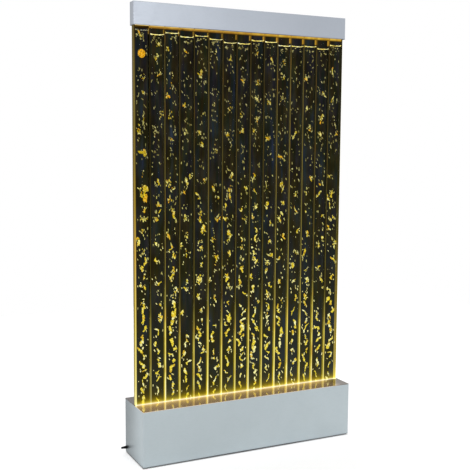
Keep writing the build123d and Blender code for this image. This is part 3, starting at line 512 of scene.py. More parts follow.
drawn = (0.25, 1.0, 1.0)    # grain drawn out along the box
housing_colour = screen(180, 190, 194)
cap_colour = screen(168, 174, 183)
box_steel = metal("base_steel", housing_colour, 0.42, drawn, 260.0, 0.12, "base_housing", base_end_shade)
cap_steel = metal("cap_steel", cap_colour, 0.4, drawn, 260.0, 0.1, "cap_shell", cap_end_shade)
door_steel = metal("door_steel", housing_colour, 0.42, drawn, 260.0, 0.12)
plain_steel = metal("plain_steel", screen(186, 188, 190), 0.34, (1.0, 0.3, 1.0), 420.0, 0.2)
aluminium = metal("aluminium", screen(196, 198, 200), 0.36, (0.1, 1.0, 1.0), 500.0, 0.25)
brass = metal("brass", screen(206, 172, 96), 0.28, (1.0, 1.0, 0.3), 500.0, 0.15)
polished_steel = polished_metal()

# Clear, lit and dark sheet


def clear_sheet(name, foot_strength):
    """Clear acrylic with light in its cut ends and, on its front face, at its foot."""
    graph = Finish(name, Base_Color=(0.97, 0.985, 0.97), Roughness=0.0, Transmission_Weight=1.0, IOR=1.01)
    light = graph.group(foot_light, Core=0.0022, Halo=0.0085)
    across = graph.group(facing)["Across"]
    place = graph.axes()
    in_front = graph.math("LESS_THAN", place["Y"], (panel_front + panel_behind_front) / 2)
    above = graph.math("GREATER_THAN", place["Z"], foot_z - rib_thick)
    streaks = graph.noise(60.0, (1.0, 0.0, 0.12), detail=3.0)
    halo = graph.times(light["Halo"], graph.span(streaks, 0.3, 0.7, 0.5, 1.0))
    glow = graph.mix(halo, (0, 0, 0), screen(255, 224, 20))
    core = graph.math("MULTIPLY", light["Core"], 1.7, clamp=True)
    glow = graph.mix(core, glow, screen(255, 246, 212))
    glow = graph.dimmed(glow, graph.times(above, graph.times(in_front, foot_strength)))
    graph.glow(graph.mix(across, glow, end_glow(graph, place)))
    return graph.material


def end_glow(graph, place):
    """The glow of the panel's cut ends: pale olive at the foot, gold halfway, dull at the top."""
    wander = graph.noise(9.0, (0.0, 1.0, 1.0), detail=3.0)
    moved = graph.math("ADD", graph.panel_share(), graph.times(graph.centred(wander), 0.1))
    colour = graph.ramp(
        moved,
        (0.0, (225, 215, 140)), (0.05, (184, 170, 94)), (0.25, (148, 130, 46)), (0.42, (134, 104, 30)),
        (0.56, (122, 100, 36)), (0.75, (104, 88, 40)), (1.0, (98, 86, 42)),
    )
    depth = graph.share(place["Y"], panel_front, panel_back)
    return graph.dimmed(colour, graph.span(depth, 0.6, 1.0, 1.0, 0.7))


def rib_acrylic():
    """The ribs: lit through for the lowest quarter, thin dull lines on black above it."""
    graph = Finish("rib_acrylic", Base_Color=(0.012, 0.012, 0.008), Roughness=0.12, IOR=1.03)
    place = graph.axes()
    across = graph.group(facing)["Across"]
    pitches = graph.share(place["X"], panel_left, panel_left + channel_pitch)
    number = graph.math("FLOOR", graph.math("ADD", pitches, 0.02))
    drift = graph.noise(14.0, (1.6, 0.0, 1.0), detail=3.0)
    moved = graph.math("SUBTRACT", graph.panel_share(), 0.03)
    moved = graph.scaled(graph.chance(number, 0.3), 0.07, moved)
    moved = graph.scaled(graph.centred(drift), 0.09, moved)
    front = graph.ramp(
        moved,
        (0.0, (255, 246, 176)), (0.04, (248, 232, 124)), (0.17, (234, 214, 96)), (0.24, (150, 138, 62)),
        (0.32, (122, 110, 48)), (0.5, (100, 90, 42)), (1.0, (72, 62, 32)),
    )
    side = graph.ramp(
        moved,
        (0.0, (230, 200, 56)), (0.05, (160, 144, 40)), (0.18, (144, 126, 38)), (0.25, (78, 70, 30)),
        (0.34, (50, 46, 28)), (0.7, (42, 39, 27)), (1.0, (24, 24, 18)),
    )
    lit = graph.span(moved, 0.31, 0.23)
    warm = graph.times(graph.span(drift, 0.45, 0.7), graph.chance(number, 7.7))
    front = graph.mix(warm, front, graph.mix(lit, screen(104, 78, 32), screen(214, 168, 62)))
    along = graph.times(graph.math("FRACT", pitches), channel_pitch / rib_thick)
    core_place = graph.span(drift, 0.3, 0.7, 0.4, 0.6)
    off_core = graph.math("ABSOLUTE", graph.math("SUBTRACT", along, core_place))
    lit_core = graph.span(off_core, 0.2, 0.45, 1.05, 0.55)
    dull_core = graph.span(off_core, 0.12, 0.34, 1.3, 0.2)
    front = graph.dimmed(front, graph.mix(lit, graph.grey(dull_core), graph.grey(lit_core)))
    side = graph.dimmed(side, graph.span(place["Y"], channel_front, channel_back, 1.15, 0.5))
    glow = graph.mix(across, front, side)
    fate = graph.chance(number, 4.1)
    lit_level = graph.scaled(fate, 0.4, 0.74)
    dull_level = graph.scaled(graph.math("POWER", fate, 4.0), 1.1, 0.6)
    level = graph.scaled(lit, graph.math("SUBTRACT", lit_level, dull_level), dull_level)
    first = graph.math("LESS_THAN", number, 1.5)
    glow = graph.dimmed(glow, graph.times(level, graph.scaled(first, -0.5, 1.0)))
    rightward = graph.span(place["X"], *stub_turn)
    stub_front = graph.mix(rightward, screen(58, 42, 14), screen(104, 76, 24))
    stub_side = graph.mix(rightward, screen(128, 98, 30), screen(178, 134, 38))
    lip = graph.below_cap(lip_heights)
    stub_front = graph.mix(graph.times(lip, lip), stub_front, screen(180, 138, 50))
    stub = graph.mix(across, stub_front, stub_side)
    graph.glow(graph.mix(graph.below_cap(stub_heights), glow, stub))
    return graph.material


def end_wall_acrylic():
    """The end walls: lit in the cut end, amber inside, and glowing from the front on the left."""
    graph = Finish("end_wall_acrylic", Base_Color=(0.012, 0.011, 0.008), Roughness=0.12, IOR=1.03)
    place = graph.axes()
    share = graph.panel_share()
    outer = graph.math("GREATER_THAN", graph.math("ABSOLUTE", place["X"]), panel_right - rib_thick / 2)
    inner = graph.ramp(
        share,
        (0.0, (240, 214, 90)), (0.05, (176, 154, 76)), (0.25, (126, 108, 46)), (0.45, (76, 68, 26)),
        (0.6, (42, 40, 20)), (1.0, (34, 32, 20)),
    )
    side = graph.mix(outer, inner, end_glow(graph, place))
    right_front = graph.ramp(
        share,
        (0.0, (240, 215, 100)), (0.05, (176, 152, 44)), (0.18, (138, 120, 32)), (0.35, (100, 84, 26)),
        (0.5, (64, 58, 20)), (0.7, (34, 32, 14)), (1.0, (32, 30, 14)),
    )
    left_front = graph.ramp(
        share,
        (0.0, (255, 246, 170)), (0.04, (240, 224, 134)), (0.2, (228, 208, 110)), (0.4, (214, 176, 82)),
        (0.52, (164, 136, 48)), (0.65, (122, 104, 42)), (0.82, (116, 102, 48)), (1.0, (60, 46, 20)),
    )
    from_left = graph.share(place["X"], end_wall_low.x, end_wall_high.x)
    left_front = graph.dimmed(left_front, graph.span(from_left, 0.6, 0.95, 1.0, 0.55))
    front = graph.mix(graph.math("LESS_THAN", place["X"], 0.0), right_front, left_front)
    graph.glow(graph.mix(graph.group(facing)["Across"], front, side))
    return graph.material


def head_acrylic():
    """The strips across the channel heads: brown light on the left, golden on the right."""
    graph = Finish("head_acrylic", Base_Color=(0.02, 0.012, 0.006), Roughness=0.12, IOR=1.03)
    place = graph.axes()
    wander = graph.noise(26.0, (1.0, 0.0, 0.3), detail=3.0)
    brown = graph.ramp(
        wander,
        (0.3, (130, 92, 30)), (0.45, (166, 120, 44)), (0.6, (182, 138, 54)), (0.75, (200, 156, 66)),
    )
    golden = graph.ramp(wander, (0.3, (172, 132, 42)), (0.5, (200, 156, 52)), (0.7, (226, 192, 84)))
    colour = graph.mix(graph.span(place["X"], *head_turn), brown, golden)
    lip = graph.below_cap(lip_heights)
    level = graph.scaled(graph.times(lip, lip), 0.95, 0.05)
    first = graph.math("LESS_THAN", place["X"], panel_left + channel_pitch)
    glow = graph.dimmed(colour, graph.times(level, graph.scaled(first, -0.85, 1.0)))
    # A painted highlight along the strips' top edge, brighter to the left.
    edge = graph.times(graph.below_cap(edge_heights), graph.span(place["X"], *edge_turn, 0.15, 1.0))
    graph.glow(graph.mix(edge, glow, screen(250, 214, 112)))
    return graph.material


def dark_sheet():
    """The black gloss backing: towards the water a faint glow in streaks, painted light with a painted
    bluish sheen, and a trace of light at the foot.
    """
    graph = Finish("backing_acrylic", Specular_IOR_Level=0.1)
    # Painted light and sheen: the dim streaky glow of the channels' ground, some streaks bluish.
    streaks = graph.noise(38.0, (1.0, 0.0, 0.07), detail=2.0)
    tint = graph.ramp(
        streaks,
        (0.3, (22, 27, 20)), (0.42, (32, 27, 27)), (0.5, (38, 33, 22)), (0.58, (29, 33, 26)),
        (0.66, (30, 33, 38)), (0.76, (38, 43, 50)),
    )
    patches = graph.noise(26.0, (1.0, 0.0, 0.4), detail=4.0)
    tint = graph.dimmed(tint, graph.span(patches, 0.35, 0.7, 0.7, 1.5))
    # Painted tint of that glow, warmer and cooler in streaks.
    hues = graph.noise(17.0, (1.0, 0.0, 0.4), detail=3.0)
    hue = graph.mix(graph.span(hues, 0.38, 0.62), (1.07, 0.99, 0.62), (0.91, 1.04, 1.55))
    inside = graph.math("LESS_THAN", graph.axes()["Y"], (backing_front + panel_back) / 2)
    graph.set(Base_Color=graph.mix(inside, screen(20, 20, 22), graph.dimmed(tint, 0.4)))
    light = graph.group(foot_light, Core=0.006, Halo=0.02, Reach=0.5)
    rightward = graph.span(graph.axes()["X"], *ground_turn)
    low_glow = graph.mix(rightward, screen(54, 51, 31), screen(57, 57, 44))
    glow = graph.mix(graph.times(light["Fade"], 0.75), tint, low_glow)
    glow = graph.mix(graph.times(light["Halo"], 0.5), glow, screen(150, 124, 14))
    glow = graph.mix(1.0, glow, hue, "MULTIPLY")
    graph.glow(graph.dimmed(glow, inside))
    spots = graph.group(dust, Smudge_Scale=9.0)
    graph.set(Roughness=graph.scaled(spots["Smudges"], 0.08, 0.06))
    return graph.material


front_acrylic = clear_sheet("front_acrylic", 1.0)
rear_acrylic = clear_sheet("rear_acrylic", 0.0)
floor_acrylic = clear_sheet("floor_acrylic", 1.0)
rib_finish = rib_acrylic()
end_wall_finish = end_wall_acrylic()
head_finish = head_acrylic()
backing_finish = dark_sheet()

# Plastic, rubber and electrics


def moulded(name, colour, roughness, relief=0.15, scale=1600.0, shine=0.5):
    """Moulded plastic or rubber: fine moulded grain, faint blotches and dust."""
    graph = Finish(name, Specular_IOR_Level=shine)
    texture = graph.group(grain, Scale=scale)
    spots = graph.group(dust)
    tint = graph.mix(texture["Cloud"], *toned(colour, 0.12))
    dusty = graph.times(spots["Specks"], 0.12)
    graph.set(Base_Color=graph.mix(dusty, tint, (0.45, 0.44, 0.42)))
    graph.set(Roughness=graph.scaled(spots["Smudges"], 0.12, roughness))
    graph.set(Normal=graph.bump(texture["Height"], grain_depth, relief))
    return graph.material


def circuit_board():
    """White lacquered board with copper tracks showing faintly through."""
    graph = Finish("circuit_board", Roughness=0.4)
    tracks = graph.node("ShaderNodeTexBrick", offset=0.5)
    graph.fill(
        tracks.inputs, Vector=graph.place(), Scale=40.0, Mortar_Size=0.08, Brick_Width=0.9,
        Row_Height=0.3, Color1=(0.82, 0.83, 0.8), Color2=(0.76, 0.78, 0.74), Mortar=(0.6, 0.64, 0.56),
    )
    graph.set(Base_Color=tracks.outputs["Color"])
    graph.set(Normal=graph.bump(tracks.outputs["Fac"], track_depth, 0.4))
    return graph.material


def light_chip():
    """A warm chip: a bright middle in a pale case."""
    graph = Finish("light_chip", Roughness=0.3, Emission_Strength=1.5)
    sparkle = graph.noise(400.0, detail=1.0)
    graph.set(Base_Color=graph.mix(sparkle, (0.9, 0.75, 0.3), (0.95, 0.85, 0.5)))
    graph.set(Emission_Color=graph.mix(sparkle, screen(255, 214, 90), screen(255, 240, 180)))
    return graph.material


def copper_winding():
    """Lacquered copper wire, wound in even turns."""
    graph = Finish("copper_winding", Roughness=0.3, Metallic=0.9)
    turns = graph.node("ShaderNodeTexWave", wave_type="BANDS", bands_direction="Z", wave_profile="SIN")
    graph.fill(turns.inputs, Vector=graph.place(), Scale=330.0, Distortion=0.4)
    colour = graph.mix(turns.outputs["Fac"], (0.16, 0.045, 0.015), (0.62, 0.25, 0.1))
    graph.set(Base_Color=colour)
    graph.set(Normal=graph.bump(turns.outputs["Fac"], wire_depth, 0.6))
    return graph.material


def clear_hose():
    """Soft clear tube, a little milky."""
    graph = Finish("clear_tube", Roughness=0.2, Transmission_Weight=0.6)
    cloud = graph.noise(60.0, detail=3.0)
    graph.set(Base_Color=graph.mix(cloud, (0.78, 0.82, 0.8), (0.9, 0.93, 0.91)))
    return graph.material


rubber = moulded("black_rubber", (0.022, 0.022, 0.023), 0.7, 0.3, 900.0)
foam = moulded("black_foam", (0.035, 0.035, 0.037), 0.85, 0.8, 500.0)
black_plastic = moulded("black_plastic", (0.02, 0.02, 0.022), 0.38)
grey_plastic = moulded("grey_plastic", (0.3, 0.31, 0.32), 0.42)
white_plastic = moulded("white_plastic", (0.72, 0.72, 0.69), 0.4)
lead_skin = moulded("lead_skin", (0.025, 0.025, 0.026), 0.45, 0.1, 1200.0)
gland_black = moulded("gland_black", (0.004, 0.004, 0.005), 0.6, 0.1, 1200.0, shine=0.12)
iron = metal("dark_iron", (0.13, 0.13, 0.14), 0.45, (1.0, 1.0, 0.05), 900.0, 0.3)
hose = clear_hose()
board = circuit_board()
chip = light_chip()
winding = copper_winding()

# Water and bubbles


def water_body():
    """Clear water, held close between the sheets, so that its sides barely reflect."""
    graph = Finish("water", Roughness=0.0, Transmission_Weight=1.0, IOR=1.01)
    cloud = graph.noise(30.0, (1.0, 1.0, 0.3), detail=2.0)
    graph.set(Base_Color=graph.mix(cloud, (0.93, 0.95, 0.93), (0.98, 0.985, 0.97)))
    return graph.material


def water_line():
    """The lit edge of the water's surface, uneven along its length."""
    graph = Finish("water_line", Base_Color=(0.1, 0.09, 0.04), Roughness=0.1)
    wander = graph.noise(55.0, (1.0, 0.0, 1.0), detail=3.0)
    colour = graph.ramp(
        wander,
        (0.3, (214, 170, 52)), (0.42, (248, 222, 96)), (0.56, (255, 242, 160)), (0.68, (255, 252, 220)),
    )
    first = graph.math("LESS_THAN", graph.axes()["X"], panel_left + channel_pitch)
    graph.glow(graph.dimmed(colour, graph.scaled(first, -0.9, 1.0)))
    return graph.material


def bubble_glow(name, low, middle, high, spread, warmth, shine=0.8):
    """A bubble's glow, painted light: its colour low, halfway and high in the panel, with painted dark
    patches, amber patches and painted glints.
    """
    graph = Finish(name, Roughness=0.15, IOR=1.1)
    own = graph.noise(80.0, detail=1.0)
    moved = graph.scaled(graph.centred(own), spread, graph.panel_share())
    colour = graph.ramp(moved, (0.0, low), (0.24, low), (0.4, middle), (0.7, high), (1.0, high))
    amber_part = graph.span(graph.noise(130.0, detail=1.0), 0.5, 0.66, 0.0, warmth)
    colour = graph.mix(amber_part, colour, graph.mix(1.0, colour, (0.68, 0.57, 0.22), "MULTIPLY"))
    # Painted shade in dark patches and painted glints in pale ones.
    glint_and_shade_noise = graph.noise(170.0, detail=2.0, roughness=0.6)
    colour = graph.dimmed(colour, graph.span(glint_and_shade_noise, 0.34, 0.5, 0.42, 1.0))
    glint = graph.span(glint_and_shade_noise, 0.55, 0.65, 0.0, shine)
    paler = graph.mix(0.55, colour, screen(255, 252, 200))
    colour = graph.mix(glint, colour, paler)
    # The bubbles' colour is given off as painted light; their own colour is dark.
    graph.set(Base_Color=graph.dimmed(colour, 0.1))
    graph.glow(colour)
    return graph.material


water_finish = water_body()
line_finish = water_line()
bubble_finishes = [
    bubble_glow("yellow_bubble", (242, 218, 60), (234, 202, 22), (192, 164, 28), 0.5, 0.5),
    bubble_glow("pale_bubble", (255, 248, 172), (250, 238, 128), (208, 196, 104), 0.4, 0.3),
    bubble_glow("amber_bubble", (226, 186, 48), (222, 178, 36), (228, 164, 24), 0.4, 0.15, 0.25),
    bubble_glow("small_bubble", (248, 238, 164), (204, 194, 104), (146, 136, 78), 0.9, 0.6),
]
yellow, pale, amber, small = range(4)

# The large bubbles of the first channel: share of the panel's height, place across, half width,
# half height, glow and lumpiness
large_bubbles = (
    (0.93, 0.001, 0.0165, 0.0175, amber, 0.06),
    (0.672, 0.012, 0.006, 0.013, yellow, 0.8),
    (0.677, -0.004, 0.012, 0.005, yellow, 0.8),
    (0.58, 0.014, 0.011, 0.012, yellow, 0.9),
    (0.556, 0.013, 0.009, 0.016, amber, 0.8),
)


def channel_left(index):
    """The left inside face of a channel."""
    return panel_left + rib_thick + index * channel_pitch


def water_level(index):
    """The height of the water in a channel, read from its part."""
    left = channel_left(index)
    edge = rib_thick / 2
    heights = [
        vertex.co.z for vertex in nodes["water_columns"].data.vertices
        if left - edge < vertex.co.x < left + channel_width + edge
    ]
    return max(heights)


def add_object(name, data):
    """An object with its data, in the scene."""
    made = bpy.data.objects.new(name, data)
    bpy.context.scene.collection.objects.link(made)
    return made


def make_mesh(name, points, faces, materials, material_ids=None, smooth=True):
    """A mesh piece from points and faces."""
    mesh = bpy.data.meshes.new(name)
    mesh.from_pydata(points, [], faces)
    for material in materials:
        mesh.materials.append(material)
    if material_ids:
        mesh.polygons.foreach_set("material_index", material_ids)
    mesh.polygons.foreach_set("use_smooth", [smooth] * len(faces))
    mesh.update()
    return add_object(name, mesh)


def add_mesh(*details, **more):
    """A mesh piece, made from the same details, that moves with the stand."""
    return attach(make_mesh(*details, **more), "stand")


def surface_height(index, share):
    """How far the water's surface stands above its level, across a channel."""
    from_wall = min(share, 1 - share) * channel_width
    rise = meniscus_rise * math.exp(-from_wall / meniscus_reach)
    wave = noise.noise(Vector((share * 5, index * 3.1, 0.0)))
    return rise + wave * ripple_height


def surface_bar(index, base_of, top_of):
    """Points and faces of a bar of water across a channel, between a lower and an upper edge."""
    left = channel_left(index) + water_gap
    width = channel_width - water_gap * 2
    y_low, y_high = channel_front + water_gap, channel_back - water_gap
    points = []
    for step in range(surface_steps + 1):
        share = step / surface_steps
        x = left + share * width
        low, high = base_of(share), top_of(share)
        points += [(x, y_low, low), (x, y_high, low), (x, y_high, high), (x, y_low, high)]
    faces = [(0, 3, 2, 1)]
    for step in range(surface_steps):
        first = step * 4
        for side in range(4):
            after = (side + 1) % 4
            faces.append((first + side, first + after, first + 4 + after, first + 4 + side))
    last = surface_steps * 4
    faces.append((last, last + 1, last + 2, last + 3))
    return points, faces


def add_water(index):
    """The water of one channel, and the lit edge of its surface."""
    level = water_level(index)

    def bottom(share):
        return water_bottom + water_gap

    def under_line(share):
        return level - water_line_height + surface_height(index + channel_count, share)

    def under_gap(share):
        return under_line(share) - water_gap

    def surface(share):
        return level - meniscus_rise + surface_height(index, share)

    points, faces = surface_bar(index, bottom, under_gap)
    body = add_mesh("water_%02d" % (index + 1), points, faces, [water_finish], smooth=False)
    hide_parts("water_columns")
    points, faces = surface_bar(index, under_line, surface)
    line = add_mesh("water_surface_%02d" % (index + 1), points, faces, [line_finish], smooth=False)
    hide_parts("water_columns")


def ball_template(subdivisions):
    """Points and faces of a round ball of radius 1."""
    made = bmesh.new()
    bmesh.ops.create_icosphere(made, subdivisions=subdivisions, radius=1.0)
    points = [vertex.co.copy() for vertex in made.verts]
    faces = [tuple(vertex.index for vertex in face.verts) for face in made.faces]
    made.free()
    return points, faces


bubble_ball = ball_template(ball_subdivisions)


class BubbleCloud:
    """The bubbles of one channel, gathered into one mesh."""

    def __init__(self, index, level):
        self.random = random.Random(bubble_seed * 100 + index)
        self.level = level
        self.middle = channel_left(index) + channel_width / 2
        self.swing = self.random.uniform(*train_swing)
        self.wave = self.random.uniform(*train_wave)
        self.phase = self.random.uniform(0, math.tau)
        self.vigour = self.random.uniform(*channel_vigour)
        self.vigour *= busy_vigour if index in busy_channels else 1.0
        self.train_share = lower_share * self.random.uniform(*train_lengths)
        self.points = []
        self.faces = []
        self.kinds = []

    def add(self, place, size, tilt, kind, lumps=0.8):
        """One bubble: a ball made lumpy, flattened to fit the channel, tilted in the panel's plane."""
        points, faces = bubble_ball
        start = len(self.points)
        shift = Vector(self.random.uniform(-50, 50) for axis in range(3))
        turn = Matrix.Rotation(tilt, 3, "Y")
        for point in points:
            swell = 1 + lumps * noise.noise(point * 1.3 + shift)
            swell += lumps * 0.7 * noise.noise(point * 2.9 + shift)
            moved = turn @ Vector(axis * length for axis, length in zip(point * swell, size))
            self.points.append(self.inside(Vector(place) + moved))
        self.faces += [tuple(start + corner for corner in face) for face in faces]
        self.kinds += [kind] * len(faces)

    def inside(self, point):
        """Keeps a point inside its channel."""
        reach_x = channel_width / 2 - bubble_wall_gap
        reach_y = (channel_back - channel_front) / 2 - bubble_wall_gap
        point.x = self.middle + max(-reach_x, min(reach_x, point.x - self.middle))
        point.y = channel_y + max(-reach_y, min(reach_y, point.y - channel_y))
        return point

    def height(self, share):
        """The height of a share of the water that stands above the base."""
        return foot_z + share * (self.level - foot_z)

    def height_share(self, z):
        """The share of that water below a height."""
        return max((z - foot_z) / (self.level - foot_z), 0.0)

    def train_x(self, z):
        """The winding line that the bubbles follow up from their nozzle."""
        calm = min(self.height_share(z) * 9, 1.0)
        turn = math.tau * (z - foot_z) / self.wave + self.phase
        return self.middle + calm * self.swing * (math.sin(turn) + 0.4 * math.sin(turn * 2.3))

    def shade(self, z):
        """Which bubble glow a part of a large bubble takes."""
        share = self.height_share(z)
        amber_part = 0.08 + 0.16 * min(share / middle_share, 1.0)
        return self.random.choices((yellow, pale, amber), (0.62, 0.3, amber_part))[0]

    def lobe(self, x, z, broad, tall, tilt):
        """One part of a large bubble."""
        y = channel_y + self.random.uniform(-0.001, 0.001)
        self.add((x, y, z), (broad, min(broad, lobe_depth), tall), tilt, self.shade(z), 1.0)

    def ribbon(self, x, z, lobes, wildness, thickness):
        """A large bubble torn into a crooked ribbon of lobes; gives its upper end."""
        turn = self.random.gauss(0, wildness)
        for count in range(lobes):
            turn = 0.45 * turn + self.random.gauss(0, wildness)
            turn = max(-1.5, min(1.5, turn))
            length = self.random.uniform(*lobe_length)
            broad = thickness * self.random.uniform(0.55, 1.5)
            across, up = math.sin(turn) * length, math.cos(turn) * length
            self.lobe(x + across / 2, z + up / 2, broad, length * 0.7, turn)
            x += across * 0.85 + (self.middle - x) * 0.12
            z += up * 0.85
        return x, z

    def clump(self, x, z, lobes, reach, thickness):
        """A large bubble torn into lobes that crowd round one place."""
        for count in range(lobes):
            broad = thickness * self.random.uniform(0.5, 1.3)
            place_x = x + self.random.gauss(0, reach * 0.65)
            place_z = z + self.random.gauss(0, reach * 1.2)
            tall = broad * self.random.uniform(1.2, 3.0)
            self.lobe(place_x, place_z, broad, tall, self.random.gauss(*clump_lean))

    def chips(self, x, z, count, reach):
        """Small torn-off bubbles beside a large one."""
        for chip in range(count):
            place_x = x + self.random.uniform(-reach, reach)
            place_z = z + self.random.uniform(-reach, reach)
            broad = self.random.uniform(*chip_thickness)
            tilt = self.random.gauss(*chip_lean)
            tall = broad * self.random.uniform(*chip_slimness)
            self.add((place_x, channel_y, place_z), (broad, broad, tall), tilt, small, 0.5)

    def train(self):
        """The lowest part: torn bubbles close behind each other."""
        z = water_bottom + train_start
        while z < self.height(self.train_share):
            calm = self.height_share(z) < calm_share
            x = self.train_x(z) + self.random.gauss(0, 0.0008 if calm else 0.0024)
            thickness = self.random.uniform(*train_thickness) * (0.85 if calm else 1.0)
            thickness *= self.vigour ** 0.5
            if calm or self.random.random() < train_ribbons:
                x, top = self.ribbon(x, z, self.random.randint(2, 5), 0.35 if calm else 0.65, thickness)
            else:
                reach = self.random.uniform(*train_clump_reach)
                top = z + reach * 2
                self.clump(x, z + reach, self.random.randint(3, 5), reach, thickness * 1.2)
            if self.random.random() < 0.5:
                self.chips(x, z, self.random.randint(1, 3), train_chip_reach)
            z = max(top, z + 0.004) + self.random.uniform(*train_gap) / self.vigour

    def flocks(self, share, top_share, gap):
        """Flocks of torn bubbles higher up."""
        z = self.height(share) + self.random.uniform(*gap)
        top = self.height(top_share) - flock_end
        while z < top:
            x = self.middle + self.random.gauss(0, flock_spread)
            thickness = self.random.uniform(*flock_thickness) * (1.1 - 0.35 * self.height_share(z))
            if self.random.random() < flock_ribbons:
                self.ribbon(x, z, self.random.randint(2, 4), 0.6, thickness)
            else:
                lobes = self.random.randint(3, 8)
                self.clump(x, z, lobes, self.random.uniform(*flock_reach), thickness)
            self.chips(x, z, self.random.randint(1, 4), flock_chip_reach)
            z += self.random.uniform(*gap) / self.vigour

    def specks(self, share, top_share, spacing):
        """Small bubbles over the whole width, slim, most of them leaning a little to the left."""
        low = self.height(share)
        high = self.height(top_share) - speck_end
        reach = channel_width / 2 - speck_wall_gap
        for count in range(round((high - low) / spacing)):
            x = self.middle + self.random.uniform(-reach, reach)
            y = channel_y + self.random.uniform(-speck_depth, speck_depth)
            z = self.random.uniform(low, high)
            broad = self.random.uniform(*speck_thickness)
            tall = broad * self.random.uniform(*speck_slimness)
            self.add((x, y, z), (broad, broad, tall), self.random.gauss(*speck_lean), small, 0.4)

    def froth(self):
        """Small flat bubbles caught under the surface."""
        reach = channel_width / 2 - froth_wall_gap
        for count in range(self.random.randint(4, 9)):
            x = self.middle + self.random.uniform(-reach, reach)
            z = self.level - self.random.uniform(*froth_drop)
            broad = self.random.uniform(*froth_thickness)
            tall = broad * self.random.uniform(0.4, 1.0)
            self.add((x, channel_y, z), (broad, froth_depth, tall), 0.0, small, 0.6)


def add_bubbles(index):
    """All the bubbles of one channel, as one piece."""
    cloud = BubbleCloud(index, water_level(index) - water_line_height)
    cloud.train()
    cloud.flocks(cloud.train_share, middle_share, close_gap)
    cloud.flocks(middle_share, 1.0, loose_gap)
    for share, top_share, spacing in speck_bands:
        cloud.specks(share, top_share, spacing)
    cloud.froth()
    if index == 0:
        for share, across, broad, tall, kind, lumps in large_bubbles:
            place = (cloud.middle + across, channel_y, foot_z + share * (cap_z - foot_z))
            cloud.add(place, (broad, large_bubble_depth, tall), 0.0, kind, lumps)
    name = "bubbles_%02d" % (index + 1)
    piece = add_mesh(name, cloud.points, cloud.faces, bubble_finishes, cloud.kinds)


def add_bellows():
    """The pump's rubber bellows, with its folds between its valve block and the arm."""
    low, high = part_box("pump_bellows")
    middle = (low + high) / 2
    outer = (high.x - low.x) / 2
    foot, head = low.z + bellows_clearance, high.z - bellows_clearance
    rings = [(1.0, foot)]
    for step in range(bellows_steps + 1):
        share = step / bellows_steps
        fold = (1 - math.cos(math.tau * share * bellows_folds)) / 2
        z = foot + bellows_collar + share * (head - foot - bellows_collar * 2)
        rings.append((1 - fold * bellows_fold_depth / outer, z))
    rings.append((1.0, head))
    points = [(middle.x, middle.y, foot), (middle.x, middle.y, head)]
    for reach, z in rings:
        for segment in range(bellows_segments):
            turn = math.tau * segment / bellows_segments
            x = middle.x + outer * reach * math.cos(turn)
            y = middle.y + outer * reach * math.sin(turn)
            points.append((x, y, z))
    faces = []
    last = len(points) - bellows_segments
    for segment in range(bellows_segments):
        after = (segment + 1) % bellows_segments
        faces.append((0, 2 + after, 2 + segment))
        faces.append((1, last + segment, last + after))
        for start in range(2, last, bellows_segments):
            above = start + bellows_segments
            faces.append((start + segment, start + after, above + after, above + segment))
    piece = make_mesh("bellows", points, faces, [rubber])
    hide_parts("pump_bellows")
    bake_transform(piece)


for channel in range(channel_count):
    add_water(channel)
    add_bubbles(channel)
add_bellows()

# Finishes of the parts
finishes = (
    (box_steel, "base_housing"),
    (door_steel, "service_door"),
    (cap_steel, "cap_shell"),
    (polished_steel, "top_plate_front top_plate_rear"),
    (plain_steel, "bottom_plate panel_stands stand_screws cap_bridges door_hinge_leaf"),
    (plain_steel, "wall_hinge_leaf hinge_pin pump_pivot_pin"),
    (front_acrylic, "front_sheet"),
    (rear_acrylic, "rear_sheet"),
    (floor_acrylic, "channel_floor"),
    (end_wall_finish, "left_end_wall right_end_wall"),
    (rib_finish, "channel_ribs"),
    (head_finish, "header_strips"),
    (backing_finish, "backing_sheet"),
    (water_finish, "water_columns"),
    (brass, "air_nozzles"),
    (aluminium, "light_channel power_supply_case"),
    (iron, "pump_magnet pump_core door_catches"),
    (winding, "pump_coil"),
    (board, "light_board power_supply_board"),
    (chip, "light_chips"),
    (rubber, "rubber_feet slot_packers panel_seal cap_pads pump_feet pump_bellows"),
    (foam, "cap_guides"),
    (hose, "pump_hoses air_tubes"),
    (grey_plastic, "air_manifold manifold_clips check_valve"),
    (grey_plastic, "pump_valve_block pump_arm pump_pivot_bracket"),
    (black_plastic, "pump_case pump_cover power_supply_parts switch_bezel switch_rocker"),
    (white_plastic, "terminal_block light_controller"),
    (lead_skin, "mains_leads low_voltage_leads"),
    (gland_black, "gland_body gland_locknut"),
)
finish_of = {name: finish for finish, names in finishes for name in names.split()}
for name, part in nodes.items():
    part.data.materials.clear()
    part.data.materials.append(finish_of[name])

# Stage, light and camera


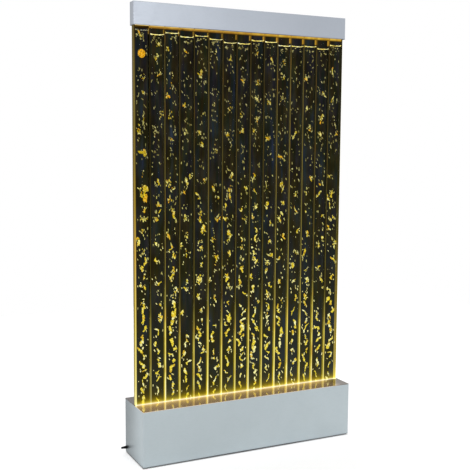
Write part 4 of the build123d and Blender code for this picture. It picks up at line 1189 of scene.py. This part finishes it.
def add_floor():
    """A plain pale floor, white to the camera, that keeps a soft shadow, with a painted shade under the
    base, where it gives off no glow.
    """
    mesh = bpy.data.meshes.new("floor")
    sides = ((-1, -1), (1, -1), (1, 1), (-1, 1))
    mesh.from_pydata([(x * floor_reach, y * floor_reach, 0.0) for x, y in sides], [], [(0, 1, 2, 3)])
    floor = add_object("floor", mesh)
    graph = Finish(
        "pale_floor", Base_Color=(0.86, 0.86, 0.86), Roughness=0.9, Specular_IOR_Level=0.0,
        Emission_Color=(1.0, 1.0, 1.0),
    )
    low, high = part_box("base_housing")
    place = graph.axes()
    # Painted shade: no glow under the base's footprint, so the shade there shows dark.
    past = graph.math("GREATER_THAN", graph.math("ABSOLUTE", place["X"]), high.x)
    past = graph.math("MAXIMUM", past, graph.math("LESS_THAN", place["Y"], low.y))
    past = graph.math("MAXIMUM", past, graph.math("GREATER_THAN", place["Y"], high.y))
    graph.set(Emission_Strength=graph.times(graph.seen(), past, floor_glow))
    mesh.materials.append(graph.material)


def add_world():
    """White to the camera and in reflections, and a softer white as light."""
    world = bpy.data.worlds.new("studio")
    world.use_nodes = True
    graph = Graph(world.node_tree)
    strength = graph.scaled(graph.seen(), 1.0 - ambient_light, ambient_light)
    graph.fill(world.node_tree.nodes["Background"].inputs, Color=(1.0, 1.0, 1.0), Strength=strength)
    bpy.context.scene.world = world


def add_lamp(name, place, aim, size, power):
    """A soft square lamp."""
    lamp = bpy.data.lights.new(name, "AREA")
    lamp.shape = "SQUARE"
    lamp.size = size
    lamp.energy = power
    holder = add_object(name, lamp)
    holder.location = place
    holder.rotation_euler = (Vector(aim) - Vector(place)).to_track_quat("-Z", "Y").to_euler()


def add_camera():
    """The photograph's view."""
    azimuth = math.radians(camera_azimuth)
    elevation = math.radians(camera_elevation)
    flat = math.cos(elevation)
    back = Vector((math.sin(azimuth) * flat, -math.cos(azimuth) * flat, math.sin(elevation)))
    camera = bpy.data.cameras.new("camera")
    camera.lens = camera_lens
    camera.sensor_width = camera_sensor
    holder = add_object("camera", camera)
    holder.location = Vector(camera_target) + back * camera_distance
    level = (-back).to_track_quat("-Z", "Y").to_matrix()
    holder.rotation_euler = (level @ Matrix.Rotation(math.radians(camera_roll), 3, "Z")).to_euler()
    bpy.context.scene.camera = holder


add_floor()
add_world()
for lamp in lamps:
    add_lamp(*lamp)
add_camera()
bpy.context.scene.view_settings.view_transform = "Standard"
